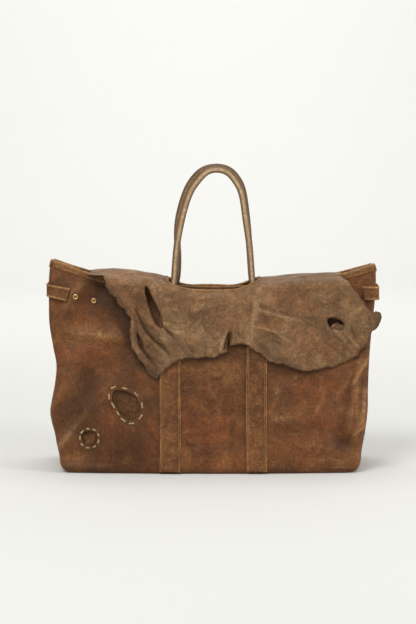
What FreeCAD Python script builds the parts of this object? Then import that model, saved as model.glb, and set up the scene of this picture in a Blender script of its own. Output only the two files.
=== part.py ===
import FreeCAD, Part
import math
import os
import Sketcher
from FreeCAD import Vector

# A leather weekender bag, in millimetres. The origin is the middle of the foot, +Z is up and the
# front panel faces -Y. The walls are flat sheets that lean together towards the mouth, and the mouth's
# edge dips in the middle along an arc whose axis runs front to back.

DIMENSIONS = {
    "base_width": 524,
    "base_depth": 180,
    "wall_lean": 11.55,
    "leather": 2.4,
    "blank_height": 385,
    "blank_half_width": 288.2,
    "mouth_dip_height": 318,
    "mouth_radius": 853,
    "cutter_length": 420,
    "binding_lip": 2.2,
    "binding_rise": 4.4,
    "binding_hem": 7,
    "binding_inner_half_width": 275,
    "gusset_fold_top": 251.5,
    "gusset_lip_gap": 2.55,
    "fold_thickness": 14.9,
    "board_length": 500,
    "board_width": 160,
    "board_thickness": 3,
    "welt_width": 3.3,
    "welt_height": 5,
    "strap_width": 40,
    "strap_leather": 2.6,
    "strap_band": 5.5,
    "strap_band_rise": 3.4,
    "strap_foot": 6,
    "strap_length": 286,
    "strap_half_spacing": 76.5,
    "handle_centre": 3,
    "handle_half_spacing": 69,
    "handle_radius": 6,
    "root_ball": 5.6,
    "handle_bore": 3.8,
    "core_radius": 3.6,
    "handle_lean": 6.6,
    "handle_stand_off": 9.5,
    "handle_run": 35.8,
    "handle_side_lean": 4,
    "handle_shoulder_lean": 14.5,
    "handle_side_radius": 656,
    "root_neck": 318,
    "root_pivot": 349.2,
    "root_neck_spacing": 72.5,
    "pivot_gap": 6.5,
    "flap_leather": 2.6,
    "flap_left": 215,
    "flap_right": 235,
    "flap_half_depth": 48,
    "flap_apron_height": 319,
    "flap_clearance": 10,
    "flap_face_y": 53.2,
    "flap_hinge_height": 318,
    "flap_tilt": 4,
    "slot_half_length": 79,
    "slot_half_width": 42,
    "slot_lip": 1.6,
    "slot_hem": 6,
    "anchor_gap": 6,
    "side_strap_low": 304,
    "side_strap_high": 330,
    "side_strap_leather": 2.6,
    "side_strap_face": 290,
    "side_strap_stand": 2,
    "side_strap_hinge": 286,
    "side_strap_back_reach": 205,
    "left_tip_reach": 245,
    "right_tip_reach": 263,
    "tip_gap": 2,
    "socket_radius": 5,
    "socket_thickness": 1.6,
    "socket_inset": 8,
    "stud_flange": 4.8,
    "stud_flange_thickness": 1.5,
    "stud_post": 2.2,
    "stud_hole": 2.3,
    "stud_washer": 5,
    "stud_washer_thickness": 1,
    "stud_outer_x": 238,
    "stud_inner_x": 207,
    "stud_outer_height": 313,
    "stud_inner_height": 309,
    "large_patch_x": -150,
    "large_patch_height": 122,
    "large_hole": 13,
    "large_patch_radius": 37,
    "large_stitch_ring": 29,
    "small_patch_x": -215,
    "small_patch_height": 63,
    "small_hole": 8,
    "small_patch_radius": 24,
    "small_stitch_ring": 17,
    "patch_leather": 1.8,
    "stitch_length": 9,
    "stitch_width": 2.4,
    "stitch_rise": 1.2,
}

LARGE_STITCHES = 11
SMALL_STITCHES = 9

# The natural hide edge of the flap's front section, seen from the front: x and height, going round
# anticlockwise from the upper left corner.
FLAP_EDGE = [
    (-179, 317), (-166, 299), (-145, 270), (-146, 230), (-127, 199), (-97, 169), (-80, 183),
    (-35, 202), (3, 202), (30, 217), (18, 246), (37, 223), (68, 222), (99, 197), (133, 193),
    (164, 179), (219, 192), (263, 210), (284, 244), (290, 256), (290, 285), (273, 299),
    (257, 317),
]

# The worn holes through the flap's front section, each an outline in the same terms.
FLAP_HOLES = [
    [(-112, 312), (-104, 286), (-90, 262), (-94, 288), (-105, 312)],
    [(-134, 245), (-128, 246), (-119, 216), (-122, 213), (-130, 228)],
    [(204, 274), (222, 269), (235, 253), (220, 249), (207, 257)],
]

# The section of the flap's anchor strip, as distances behind the middle and heights: up the inner face
# from its sewn foot to the flap, then back down the outer face.
ANCHOR_PROFILE = [
    ("46.4", "231.9"), ("38.6", "270.2"), ("55.2", "360"),
    ("57.8", "359.5"), ("41.3", "270.3"), ("49", "232.4"),
]

# Leaning frames of the two large walls: x runs along the wall, y into the wall and z up its slope.
FRONT_WALL = (
    "placement(vector(0; -Sizes.base_depth / 2; 0); "
    "rotation(vector(1; 0; 0); -Sizes.wall_lean))"
)
BACK_WALL = (
    "placement(vector(0; Sizes.base_depth / 2; 0); "
    "rotation(vector(0; 0; 1); 180) * rotation(vector(1; 0; 0); -Sizes.wall_lean))"
)
UPRIGHT = "rotation(vector(0; 0; 1); 0)"
LYING_ALONG_Y = "rotation(vector(1; 0; 0); 90)"

document = FreeCAD.newDocument("weekender_bag")
sizes = document.addObject("Spreadsheet::Sheet", "Sizes")
for row, (alias, number) in enumerate(DIMENSIONS.items(), start=1):
    sizes.set(f"A{row}", alias)
    sizes.set(f"B{row}", str(number))
    sizes.setAlias(f"B{row}", alias)
document.recompute()

sub_parts = []


def keep(item):
    """Marks a finished object as a sub-part of its own."""
    sub_parts.append(item)
    return item


def value(expression):
    result = sizes.evalExpression(str(expression))
    return float(getattr(result, "Value", result))


def place(item, x, y, z, rotation=UPRIGHT):
    item.setExpression("Placement", f"placement(vector({x}; {y}; {z}); {rotation})")
    return item


def on_wall(item, wall):
    item.setExpression("Placement", wall)
    return item


def plane_of(body, role):
    for feature in body.Origin.OriginFeatures:
        if feature.Role == role:
            return feature
    raise ValueError(role)


def bind(sketch, kind, *place_and_size):
    """Adds a dimension to a sketch and binds it to an expression."""
    *place_in_sketch, expression = place_and_size
    index = sketch.addConstraint(Sketcher.Constraint(kind, *place_in_sketch, value(expression)))
    sketch.setExpression(f"Constraints[{index}]", str(expression))


def outline(body, name, role, loops, circles=(), height=None):
    """A fully fixed sketch of closed straight-sided loops and circles."""
    sketch = body.newObject("Sketcher::SketchObject", name)
    sketch.AttachmentSupport = [(plane_of(body, role), "")]
    sketch.MapMode = "FlatFace"
    if height is not None:
        sketch.setExpression("AttachmentOffset.Base.z", str(height))
    for corners in loops:
        points = [Vector(value(x), value(y), 0) for x, y in corners]
        first = sketch.GeometryCount
        count = len(points)
        for index, point in enumerate(points):
            sketch.addGeometry(Part.LineSegment(point, points[(index + 1) % count]), False)
        for index in range(count):
            follower = first + (index + 1) % count
            sketch.addConstraint(Sketcher.Constraint("Coincident", first + index, 2, follower, 1))
        for index, (x, y) in enumerate(corners):
            bind(sketch, "DistanceX", -1, 1, first + index, 1, x)
            bind(sketch, "DistanceY", -1, 1, first + index, 1, y)
    for x, y, radius in circles:
        centre = Vector(value(x), value(y), 0)
        circle = Part.Circle(centre, Vector(0, 0, 1), value(radius))
        index = sketch.addGeometry(circle, False)
        bind(sketch, "DistanceX", -1, 1, index, 3, x)
        bind(sketch, "DistanceY", -1, 1, index, 3, y)
        bind(sketch, "Radius", index, radius)
    return sketch


def add_pad(body, sketch, length, inwards=False):
    pad = body.newObject("PartDesign::Pad", f"{sketch.Name}_pad")
    pad.Profile = sketch
    pad.Reversed = inwards
    pad.setExpression("Length", str(length))
    return pad


def plate(label, corners, thickness, inwards=False, holes=(), circles=()):
    """A flat sheet drawn on the XZ plane: outwards is -Y, inwards is +Y."""
    body = document.addObject("PartDesign::Body", label)
    sketch = outline(body, "edge", "XZ_Plane", [corners, *holes], circles)
    add_pad(body, sketch, thickness, inwards)
    return body


def rectangle(left, right, low, high):
    return [(left, low), (right, low), (right, high), (left, high)]


def block(label, x_low, x_high, y_low, y_high, z_low, z_high):
    box = document.addObject("Part::Box", label)
    box.setExpression("Length", f"({x_high}) - ({x_low})")
    box.setExpression("Width", f"({y_high}) - ({y_low})")
    box.setExpression("Height", f"({z_high}) - ({z_low})")
    return place(box, x_low, y_low, z_low)


def arc_cutter(label, radius):
    """A cylinder along Y whose lowest line is the middle of the mouth's arc."""
    cutter = document.addObject("Part::Cylinder", label)
    cutter.setExpression("Radius", str(radius))
    cutter.setExpression("Height", "Sizes.cutter_length")
    centre_height = "Sizes.mouth_dip_height + Sizes.mouth_radius"
    return place(cutter, 0, "Sizes.cutter_length / 2", centre_height, LYING_ALONG_Y)


def cut(label, base, *tools):
    """The base less each tool in turn."""
    result = base
    for number, tool in enumerate(tools, start=1):
        name = label if number == len(tools) else f"{label}_step_{number}"
        step = document.addObject("Part::Cut", name)
        step.Base = result
        step.Tool = tool
        result = step
    return result


def common(label, base, tool):
    result = document.addObject("Part::Common", label)
    result.Base = base
    result.Tool = tool
    return result


def fuse(label, shapes):
    result = document.addObject("Part::MultiFuse", label)
    result.Shapes = shapes
    return result


def group(label, solids):
    """Several alike solids that share one sub-part."""
    result = document.addObject("Part::Compound", label)
    result.Links = solids
    return result


# Walls, gussets and base


def slope(height):
    """The distance up a leaning wall's outer face at a height."""
    return f"({height}) / cos(Sizes.wall_lean)"


def inner_face(height):
    """Half the clear depth between the two leaning walls at a height."""
    wall = "Sizes.base_depth / 2 - Sizes.leather / cos(Sizes.wall_lean)"
    return f"({wall} - tan(Sizes.wall_lean) * ({height}))"


def wall_blank_corners():
    foot = "Sizes.leather * tan(Sizes.wall_lean)"
    top = slope("Sizes.blank_height")
    return [
        ("-Sizes.base_width / 2", foot),
        ("Sizes.base_width / 2", foot),
        ("Sizes.blank_half_width", top),
        ("-Sizes.blank_half_width", top),
    ]


def gusset_blank(label, side, lip="0"):
    """A V-folded end wall, open to the outside; lip is extra thickness on both of its faces."""
    body = document.addObject("PartDesign::Body", label)
    foot_y = inner_face("0")
    top_y = inner_face("Sizes.blank_height")
    open_y = f"({top_y} - Sizes.gusset_lip_gap - {lip})"
    shut_y = f"({top_y} + {lip})"
    steep = f"(Sizes.blank_half_width - Sizes.gusset_fold_top) / ({top_y} - Sizes.gusset_lip_gap)"
    foot_outer = f"(Sizes.base_width / 2 + {lip})"
    foot_inner = f"(Sizes.base_width / 2 - Sizes.leather - {lip})"
    top_edge = "Sizes.blank_half_width"
    fold_outer = f"({top_edge} - {steep} * {open_y})"
    fold_inner = f"({top_edge} - {steep} * {shut_y})"
    foot = [
        (foot_outer, f"-{foot_y}"), (foot_outer, "0"), (foot_outer, foot_y),
        (foot_inner, foot_y), (foot_inner, "0"), (foot_inner, f"-{foot_y}"),
    ]
    top = [
        (top_edge, f"-{open_y}"), (fold_outer, "0"), (top_edge, open_y),
        (top_edge, shut_y), (fold_inner, "0"), (top_edge, f"-{shut_y}"),
    ]
    foot = [(f"{side} * {x}", y) for x, y in foot]
    top = [(f"{side} * {x}", y) for x, y in top]
    foot_sketch = outline(body, "foot", "XY_Plane", [foot])
    top_sketch = outline(body, "top", "XY_Plane", [top], height="Sizes.blank_height")
    loft = body.newObject("PartDesign::AdditiveLoft", "folded_wall")
    loft.Profile = foot_sketch
    loft.Sections = [top_sketch]
    loft.Ruled = True
    return body


mouth_cutter = arc_cutter("mouth_cutter", "Sizes.mouth_radius")

large_hole = ("Sizes.large_patch_x", slope("Sizes.large_patch_height"), "Sizes.large_hole")
small_hole = ("Sizes.small_patch_x", slope("Sizes.small_patch_height"), "Sizes.small_hole")


def stud_places(side):
    """x and distance up the wall of the two studs at one end."""
    return [
        (f"{side} * Sizes.stud_outer_x", "Sizes.stud_outer_height"),
        (f"{side} * Sizes.stud_inner_x", "Sizes.stud_inner_height"),
    ]


stud_holes = [(x, up, "Sizes.stud_hole") for side in (-1, 1) for x, up in stud_places(side)]

front_blank = on_wall(
    plate("front_blank", wall_blank_corners(), "Sizes.leather", inwards=True,
          circles=[large_hole, small_hole, *stud_holes]),
    FRONT_WALL,
)
back_blank = on_wall(
    plate("back_blank", wall_blank_corners(), "Sizes.leather", inwards=True),
    BACK_WALL,
)
front_panel = keep(cut("front_panel", front_blank, mouth_cutter))
back_panel = keep(cut("back_panel", back_blank, mouth_cutter))

left_gusset = keep(cut("left_gusset", gusset_blank("left_gusset_blank", -1), mouth_cutter))
right_gusset = keep(cut("right_gusset", gusset_blank("right_gusset_blank", 1), mouth_cutter))

base_half_length = "(Sizes.base_width / 2 - Sizes.leather - 0.25)"
base_half_width = f"({inner_face('Sizes.leather')} - 0.05)"
keep(block(
    "base_panel",
    f"-{base_half_length}", base_half_length,
    f"-{base_half_width}", base_half_width,
    "0", "Sizes.leather",
))
keep(block(
    "base_board",
    "-Sizes.board_length / 2", "Sizes.board_length / 2",
    "-Sizes.board_width / 2", "Sizes.board_width / 2",
    "Sizes.leather", "Sizes.leather + Sizes.board_thickness",
))
welt_half_length = "(Sizes.base_width / 2 + 0.5)"
welt_half_width = "(Sizes.base_depth / 2 + 0.1)"
welt_outside = block(
    "welt_outside",
    f"-{welt_half_length} - Sizes.welt_width", f"{welt_half_length} + Sizes.welt_width",
    f"-{welt_half_width} - Sizes.welt_width", f"{welt_half_width} + Sizes.welt_width",
    "0", "Sizes.welt_height",
)
welt_inside = block(
    "welt_inside",
    f"-{welt_half_length}", welt_half_length,
    f"-{welt_half_width}", welt_half_width,
    "-1", "Sizes.welt_height + 1",
)
keep(cut("base_welt", welt_outside, welt_inside))

# Bound edges of the mouth

binding_ring = cut(
    "binding_ring",
    arc_cutter("binding_low", "Sizes.mouth_radius + Sizes.binding_hem"),
    arc_cutter("binding_high", "Sizes.mouth_radius - Sizes.binding_rise"),
)


def wall_binding(label, panel, wall):
    """A folded strip over the arc edge of one large wall; its inner leaf stops short of the gussets."""
    band = document.addObject("PartDesign::Body", f"{label}_band")
    inner_leaf = rectangle(
        "-Sizes.binding_inner_half_width", "Sizes.binding_inner_half_width",
        "0", slope("Sizes.blank_height"),
    )
    sketch = outline(band, "edge", "XZ_Plane", [inner_leaf])
    add_pad(band, sketch, "Sizes.leather + Sizes.binding_lip", inwards=True)
    proud = outline(band, "proud_edge", "XZ_Plane", [wall_blank_corners()])
    add_pad(band, proud, "Sizes.binding_lip")
    on_wall(band, wall)
    strip = common(f"{label}_strip", band, binding_ring)
    return keep(cut(label, strip, panel))


front_binding = wall_binding("front_mouth_binding", front_panel, FRONT_WALL)
back_binding = wall_binding("back_mouth_binding", back_panel, BACK_WALL)
for name, side, gusset in (("left", -1, left_gusset), ("right", 1, right_gusset)):
    band = gusset_blank(f"{name}_gusset_band", side, "Sizes.binding_lip")
    strip = common(f"{name}_gusset_strip", band, binding_ring)
    keep(cut(
        f"{name}_gusset_binding", strip,
        gusset, front_panel, back_panel, front_binding, back_binding,
    ))

# Straps and handle roots


def strap(label, x, wall):
    """A strap up a wall, with its edges turned back into a raised band each side."""
    body = document.addObject("PartDesign::Body", label)
    left = f"({x} - Sizes.strap_width / 2)"
    right = f"({x} + Sizes.strap_width / 2)"
    foot = "Sizes.strap_foot"
    top = "(Sizes.strap_foot + Sizes.strap_length)"
    face = outline(body, "face", "XZ_Plane", [rectangle(left, right, foot, top)])
    add_pad(body, face, "Sizes.strap_leather")
    bands = outline(body, "bands", "XZ_Plane", [
        rectangle(left, f"({left} + Sizes.strap_band)", foot, top),
        rectangle(f"({right} - Sizes.strap_band)", right, foot, top),
    ])
    add_pad(body, bands, "Sizes.strap_band_rise")
    return keep(on_wall(body, wall))


def handle_root(label, x, side, wall):
    """The strap's top, rolled into a round stem that ends in a ball at the handle's pivot."""
    stem = document.addObject("Part::Loft", f"{label}_stem")
    flat_end = document.addObject("Part::Ellipse", f"{label}_flat_end")
    flat_end.setExpression("MajorRadius", "Sizes.strap_width / 2")
    flat_end.setExpression("MinorRadius", "Sizes.strap_band_rise / 2")
    flat_height = "(Sizes.strap_foot + Sizes.strap_length + 0.2)"
    place(flat_end, x, "-Sizes.strap_band_rise / 2", flat_height)
    rounds = []
    stem_x = {
        "neck": f"({x} - {side} * (Sizes.strap_half_spacing - Sizes.root_neck_spacing))",
        "pivot": f"({x} - {side} * (Sizes.strap_half_spacing - Sizes.handle_half_spacing))",
    }
    for level, centre in stem_x.items():
        circle = document.addObject("Part::Circle", f"{label}_{level}")
        circle.setExpression("Radius", "Sizes.handle_radius")
        place(circle, centre, "-Sizes.handle_stand_off", f"Sizes.root_{level}")
        rounds.append(circle)
    stem.Sections = [flat_end, *rounds]
    stem.Solid = True
    stem.Ruled = True
    ball = document.addObject("Part::Sphere", f"{label}_ball")
    ball.setExpression("Radius", "Sizes.root_ball")
    place(ball, stem_x["pivot"], "-Sizes.handle_stand_off", "Sizes.root_pivot")
    return keep(on_wall(fuse(label, [stem, ball]), wall))


for name, side in (("left", -1), ("right", 1)):
    front_x = f"(Sizes.handle_centre + {side} * Sizes.strap_half_spacing)"
    back_x = f"(-Sizes.handle_centre - {side} * Sizes.strap_half_spacing)"
    strap(f"front_strap_{name}", front_x, FRONT_WALL)
    strap(f"back_strap_{name}", back_x, BACK_WALL)
    handle_root(f"front_handle_root_{name}", front_x, side, FRONT_WALL)
    handle_root(f"rear_handle_root_{name}", back_x, -side, BACK_WALL)

# Rolled handles: straight run, long side arc, round top and back down, in one plane


def handle_spine(label):
    """The handle's centre line, from the left pivot over the top to the right pivot."""
    side_lean = math.radians(value("Sizes.handle_side_lean"))
    shoulder_lean = math.radians(value("Sizes.handle_shoulder_lean"))
    half_spacing = value("Sizes.handle_half_spacing")
    run = value("Sizes.handle_run")
    gap = value("Sizes.pivot_gap")
    side_radius = value("Sizes.handle_side_radius")

    def on_side_arc(lean):
        x = half_spacing - run * math.sin(side_lean)
        x -= side_radius * (math.cos(side_lean) - math.cos(lean))
        z = run * math.cos(side_lean)
        z += side_radius * (math.sin(lean) - math.sin(side_lean))
        return Vector(x, 0, z)

    start = Vector(half_spacing - gap * math.sin(side_lean), 0, gap * math.cos(side_lean))
    low = on_side_arc(side_lean)
    middle = on_side_arc((side_lean + shoulder_lean) / 2)
    shoulder = on_side_arc(shoulder_lean)
    top_radius = shoulder.x / math.cos(shoulder_lean)
    top = Vector(0, 0, shoulder.z + top_radius * (1 - math.sin(shoulder_lean)))

    def mirrored(point):
        return Vector(-point.x, 0, point.z)

    edges = [
        Part.LineSegment(mirrored(start), mirrored(low)),
        Part.Arc(mirrored(low), mirrored(middle), mirrored(shoulder)),
        Part.Arc(mirrored(shoulder), top, shoulder),
        Part.Arc(shoulder, middle, low),
        Part.LineSegment(low, start),
    ]
    spine = document.addObject("Part::Feature", label)
    spine.Shape = Part.Wire([edge.toShape() for edge in edges])
    return spine


def handle_rod(label, spine, radius):
    section = document.addObject("Part::Circle", f"{label}_section")
    section.setExpression("Radius", radius)
    start_x = "-Sizes.handle_half_spacing + Sizes.pivot_gap * sin(Sizes.handle_side_lean)"
    start_z = "Sizes.pivot_gap * cos(Sizes.handle_side_lean)"
    place(section, start_x, "0", start_z, "rotation(vector(0; 1; 0); Sizes.handle_side_lean)")
    rod = document.addObject("Part::Sweep", label)
    rod.Sections = [section]
    rod.Spine = (spine, [f"Edge{number}" for number in range(1, 6)])
    rod.Solid = True
    rod.Frenet = True
    return rod


pivot_y = (
    "(Sizes.base_depth / 2 + Sizes.handle_stand_off * cos(Sizes.wall_lean)"
    " - Sizes.root_pivot * sin(Sizes.wall_lean))"
)
pivot_z = (
    "(Sizes.handle_stand_off * sin(Sizes.wall_lean)"
    " + Sizes.root_pivot * cos(Sizes.wall_lean))"
)
handle_tilt = "rotation(vector(1; 0; 0); -Sizes.handle_lean)"
turned_tilt = f"rotation(vector(0; 0; 1); 180) * {handle_tilt}"
for name, y, tilt in (("front", f"-{pivot_y}", handle_tilt), ("rear", pivot_y, turned_tilt)):
    spine = handle_spine(f"{name}_spine")
    outside = handle_rod(f"{name}_outside", spine, "Sizes.handle_radius")
    bore = handle_rod(f"{name}_bore", spine, "Sizes.handle_bore")
    cover = keep(cut(f"{name}_handle_cover", outside, bore))
    core = keep(handle_rod(f"{name}_handle_core", spine, "Sizes.core_radius"))
    for piece in (cover, core):
        place(piece, "Sizes.handle_centre", y, pivot_z, tilt)

# Flap

flap_under = "Sizes.mouth_radius - Sizes.flap_clearance"
flap_ring = cut(
    "flap_ring",
    arc_cutter("flap_ring_low", flap_under),
    arc_cutter("flap_ring_high", f"{flap_under} - Sizes.flap_leather"),
)
flap_area = block(
    "flap_area",
    "-Sizes.flap_left", "Sizes.flap_right",
    "-Sizes.flap_face_y + Sizes.flap_leather / 2", "Sizes.flap_half_depth",
    "Sizes.mouth_dip_height", "Sizes.blank_height",
)


def slot_block(label, margin):
    return block(
        label,
        f"Sizes.handle_centre - Sizes.slot_half_length - {margin}",
        f"Sizes.handle_centre + Sizes.slot_half_length + {margin}",
        f"-Sizes.slot_half_width - {margin}",
        f"Sizes.slot_half_width + {margin}",
        "Sizes.mouth_dip_height", "Sizes.blank_height",
    )


flap_apron = cut(
    "flap_apron",
    block(
        "flap_apron_sheet",
        "-Sizes.flap_left", "Sizes.flap_right",
        "-Sizes.flap_face_y", "Sizes.flap_leather - Sizes.flap_face_y",
        "Sizes.flap_apron_height", "Sizes.blank_height",
    ),
    arc_cutter("flap_apron_cutter", f"{flap_under} - Sizes.flap_leather"),
)
flap_sheet = common("flap_sheet", flap_area, flap_ring)
flap_top = keep(cut("flap_top", fuse("flap_crest", [flap_sheet, flap_apron]), slot_block("slot", "0")))
slot_ring = cut(
    "slot_ring",
    arc_cutter("slot_ring_low", f"{flap_under} + Sizes.slot_lip"),
    arc_cutter("slot_ring_high", f"{flap_under} - Sizes.flap_leather - Sizes.slot_lip"),
)
slot_rim = cut(
    "slot_rim",
    slot_block("slot_rim_outside", "(Sizes.slot_hem - 1)"),
    slot_block("slot_rim_inside", "(0 - Sizes.slot_lip)"),
)
keep(cut("flap_slot_binding", common("slot_rim_strip", slot_rim, slot_ring), flap_top))


def below_hinge(height):
    """The distance up from the flap's hinge line to a height; negative below the hinge."""
    return f"(({height}) - Sizes.flap_hinge_height) / cos(Sizes.flap_tilt)"


flap_front = plate(
    "flap_front",
    [(str(x), below_hinge(height)) for x, height in FLAP_EDGE],
    "Sizes.flap_leather",
    inwards=True,
    holes=[[(str(x), below_hinge(height)) for x, height in hole] for hole in FLAP_HOLES],
)
place(
    flap_front, "0", "-Sizes.flap_face_y", "Sizes.flap_hinge_height",
    "rotation(vector(1; 0; 0); -Sizes.flap_tilt)",
)
keep(flap_front)

# The anchor strip goes up the back outside the straps, clear of the handle roots, to the flap's rear edge.
anchor_sheet = document.addObject("PartDesign::Body", "anchor_sheet")
anchor_sketch = outline(anchor_sheet, "profile", "YZ_Plane", [ANCHOR_PROFILE])
add_pad(anchor_sheet, anchor_sketch, "Sizes.flap_left + Sizes.flap_right")
place(anchor_sheet, "-Sizes.flap_left", "0", "0")
anchor_cutter = arc_cutter("anchor_cutter", f"{flap_under} + Sizes.anchor_gap")
keep(cut("flap_anchor", anchor_sheet, anchor_cutter))

# Side straps


def leaning_band(label, near, far, stand):
    """A strip of side strap over a leaning wall, from x near to x far."""
    low = slope("Sizes.side_strap_low")
    high = slope("Sizes.side_strap_high")
    body = plate(
        label,
        rectangle(near, far, low, high),
        "Sizes.side_strap_leather",
    )
    body.Group[0].setExpression("AttachmentOffset.Base.z", stand)
    return body


def side_strap(name, side):
    """The fixed part of a side strap: across the end of the bag and along its back."""
    low = "Sizes.side_strap_low"
    high = "Sizes.side_strap_high"
    front_low = f"(-Sizes.base_depth / 2 + tan(Sizes.wall_lean) * {low})"
    front_high = f"(-Sizes.base_depth / 2 + tan(Sizes.wall_lean) * {high})"
    reach = "(Sizes.side_strap_stand + Sizes.side_strap_leather) / cos(Sizes.wall_lean)"
    end = document.addObject("PartDesign::Body", f"{name}_strap_end")
    profile = outline(end, "profile", "YZ_Plane", [[
        (front_low, low), (f"-{front_low} + {reach}", low),
        (f"-{front_high} + {reach}", high), (front_high, high),
    ]])
    add_pad(end, profile, "Sizes.side_strap_leather")
    inner_side = "(Sizes.side_strap_face - Sizes.side_strap_leather)"
    place(end, inner_side if side > 0 else "-Sizes.side_strap_face", "0", "0")
    back = leaning_band(
        f"{name}_strap_back",
        f"{-side} * Sizes.side_strap_face", f"{-side} * Sizes.side_strap_back_reach",
        "Sizes.side_strap_stand",
    )
    on_wall(back, BACK_WALL)
    keep(fuse(f"{name}_side_strap", [end, back]))


def strap_tip(name, side):
    """The movable front end of a side strap."""
    reach = f"{side} * Sizes.{name}_tip_reach"
    near = f"{side} * (Sizes.side_strap_hinge - Sizes.tip_gap)"
    tip = leaning_band(f"{name}_strap_tip", near, reach, "Sizes.side_strap_stand")
    keep(on_wall(tip, FRONT_WALL))
    socket = document.addObject("PartDesign::Body", f"{name}_strap_socket")
    middle = slope("(Sizes.side_strap_low + Sizes.side_strap_high) / 2")
    face = outline(
        socket, "face", "XZ_Plane", [],
        circles=[(f"({reach} + {side} * Sizes.socket_inset)", middle, "Sizes.socket_radius")],
        height="Sizes.side_strap_stand - Sizes.socket_thickness",
    )
    add_pad(socket, face, "Sizes.socket_thickness")
    keep(on_wall(socket, FRONT_WALL))


def stud_set(name, side):
    """Two cap studs through the front panel, and the washers behind them."""
    studs = []
    washers = []
    for number, (x, up) in enumerate(stud_places(side), start=1):
        stud = document.addObject("PartDesign::Body", f"{name}_stud_{number}")
        add_pad(
            stud,
            outline(stud, "cap", "XZ_Plane", [], circles=[(x, up, "Sizes.stud_flange")]),
            "Sizes.stud_flange_thickness",
        )
        add_pad(
            stud,
            outline(stud, "post", "XZ_Plane", [], circles=[(x, up, "Sizes.stud_post")]),
            "Sizes.leather + Sizes.stud_washer_thickness",
            inwards=True,
        )
        studs.append(on_wall(stud, FRONT_WALL))
        washer = document.addObject("PartDesign::Body", f"{name}_washer_{number}")
        ring = outline(
            washer, "ring", "XZ_Plane", [],
            circles=[(x, up, "Sizes.stud_washer"), (x, up, "Sizes.stud_hole")],
            height="-Sizes.leather",
        )
        add_pad(washer, ring, "Sizes.stud_washer_thickness", inwards=True)
        washers.append(on_wall(washer, FRONT_WALL))
    keep(group(f"{name}_snap_studs", studs))
    keep(group(f"{name}_stud_washers", washers))


for name, side in (("left", -1), ("right", 1)):
    side_strap(name, side)
    strap_tip(name, side)
    stud_set(name, side)

# Patches behind the two openings in the front panel, and the thread that shows round each opening


def patch(size, stitch_count):
    centre_x = f"Sizes.{size}_patch_x"
    up = slope(f"Sizes.{size}_patch_height")
    body = document.addObject("PartDesign::Body", f"{size}_patch")
    face = outline(
        body, "face", "XZ_Plane", [],
        circles=[(centre_x, up, f"Sizes.{size}_patch_radius")],
        height="-Sizes.leather",
    )
    add_pad(body, face, "Sizes.patch_leather", inwards=True)
    keep(on_wall(body, FRONT_WALL))
    stitches = []
    for number in range(stitch_count):
        stitch = document.addObject("PartDesign::Body", f"{size}_stitch_{number + 1}")
        turn = 360 / stitch_count * number
        bar = outline(stitch, "bar", "XZ_Plane", [rectangle(
            "-Sizes.stitch_length / 2", "Sizes.stitch_length / 2",
            f"Sizes.{size}_stitch_ring - Sizes.stitch_width / 2",
            f"Sizes.{size}_stitch_ring + Sizes.stitch_width / 2",
        )])
        add_pad(stitch, bar, "Sizes.stitch_rise")
        place(stitch, centre_x, "0", up, f"rotation(vector(0; 1; 0); {turn})")
        stitches.append(stitch)
    keep(on_wall(group(f"{size}_patch_thread", stitches), FRONT_WALL))


patch("large", LARGE_STITCHES)
patch("small", SMALL_STITCHES)

document.recompute()

for item in document.Objects:
    if "Invalid" in item.State or "Error" in item.State:
        raise RuntimeError(f"{item.Label} did not build: {item.State}")
for item in sub_parts:
    if item.Shape.isNull() or not item.Shape.isValid():
        raise RuntimeError(f"{item.Label} has no valid shape")

os.makedirs("parts", exist_ok=True)
for item in sub_parts:
    item.Shape.exportStep(f"parts/{item.Label}.step")
    box = item.Shape.BoundBox
    print(f"{item.Label}: {len(item.Shape.Solids)} solid(s), {item.Shape.Volume:.0f} mm3,"
          f" z {box.ZMin:.1f} to {box.ZMax:.1f}")
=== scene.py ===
import math
import random

import bmesh
import bpy
import numpy as np
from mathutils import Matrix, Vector
from mathutils.geometry import delaunay_2d_cdt


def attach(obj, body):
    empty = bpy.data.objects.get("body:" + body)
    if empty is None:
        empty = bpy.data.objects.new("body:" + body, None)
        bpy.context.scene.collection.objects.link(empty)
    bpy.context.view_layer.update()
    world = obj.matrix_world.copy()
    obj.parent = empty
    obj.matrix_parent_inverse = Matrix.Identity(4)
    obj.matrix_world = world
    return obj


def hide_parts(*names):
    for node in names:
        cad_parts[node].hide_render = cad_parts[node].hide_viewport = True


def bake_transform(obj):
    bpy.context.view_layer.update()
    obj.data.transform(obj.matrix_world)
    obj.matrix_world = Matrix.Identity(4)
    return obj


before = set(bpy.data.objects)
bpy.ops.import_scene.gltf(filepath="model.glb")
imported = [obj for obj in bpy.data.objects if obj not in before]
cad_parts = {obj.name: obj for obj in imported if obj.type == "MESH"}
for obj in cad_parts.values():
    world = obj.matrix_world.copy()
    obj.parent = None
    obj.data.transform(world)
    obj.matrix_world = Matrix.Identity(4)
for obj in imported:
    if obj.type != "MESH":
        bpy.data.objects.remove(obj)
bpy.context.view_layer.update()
random.seed(7)
noise_source = np.random.default_rng(7)

# A worn leather weekender bag. The bag stands on z = 0 and its front faces -y. Lengths are metres, but the
# tables of points and shapes are millimetres, as x and height.

WALL_LEAN = math.radians(11.55)
FOOT_HALF_DEPTH = 0.090
LEATHER = 0.0024
MOUTH_RADIUS = 0.853
MOUTH_DIP = 0.318
HANDLE_CENTRE = 0.003
VISIBLE_STRAP_WIDTH = 0.0364
STRAP_REACH = 0.0765
STRAP_X = (HANDLE_CENTRE - STRAP_REACH, HANDLE_CENTRE + STRAP_REACH)
STRAP_TOP = 0.286
PIVOT_Y = 0.0294
PIVOT_Z = 0.344
HANDLE_LEAN = math.radians(6.6)
HANDLE_LEAN_RIGHT = 0.0062


# Small numeric helpers

RIPPLE_WAVES = 14

def metres(points):
    """Millimetres as an array in metres."""
    return np.array(points, float) / 1000


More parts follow.
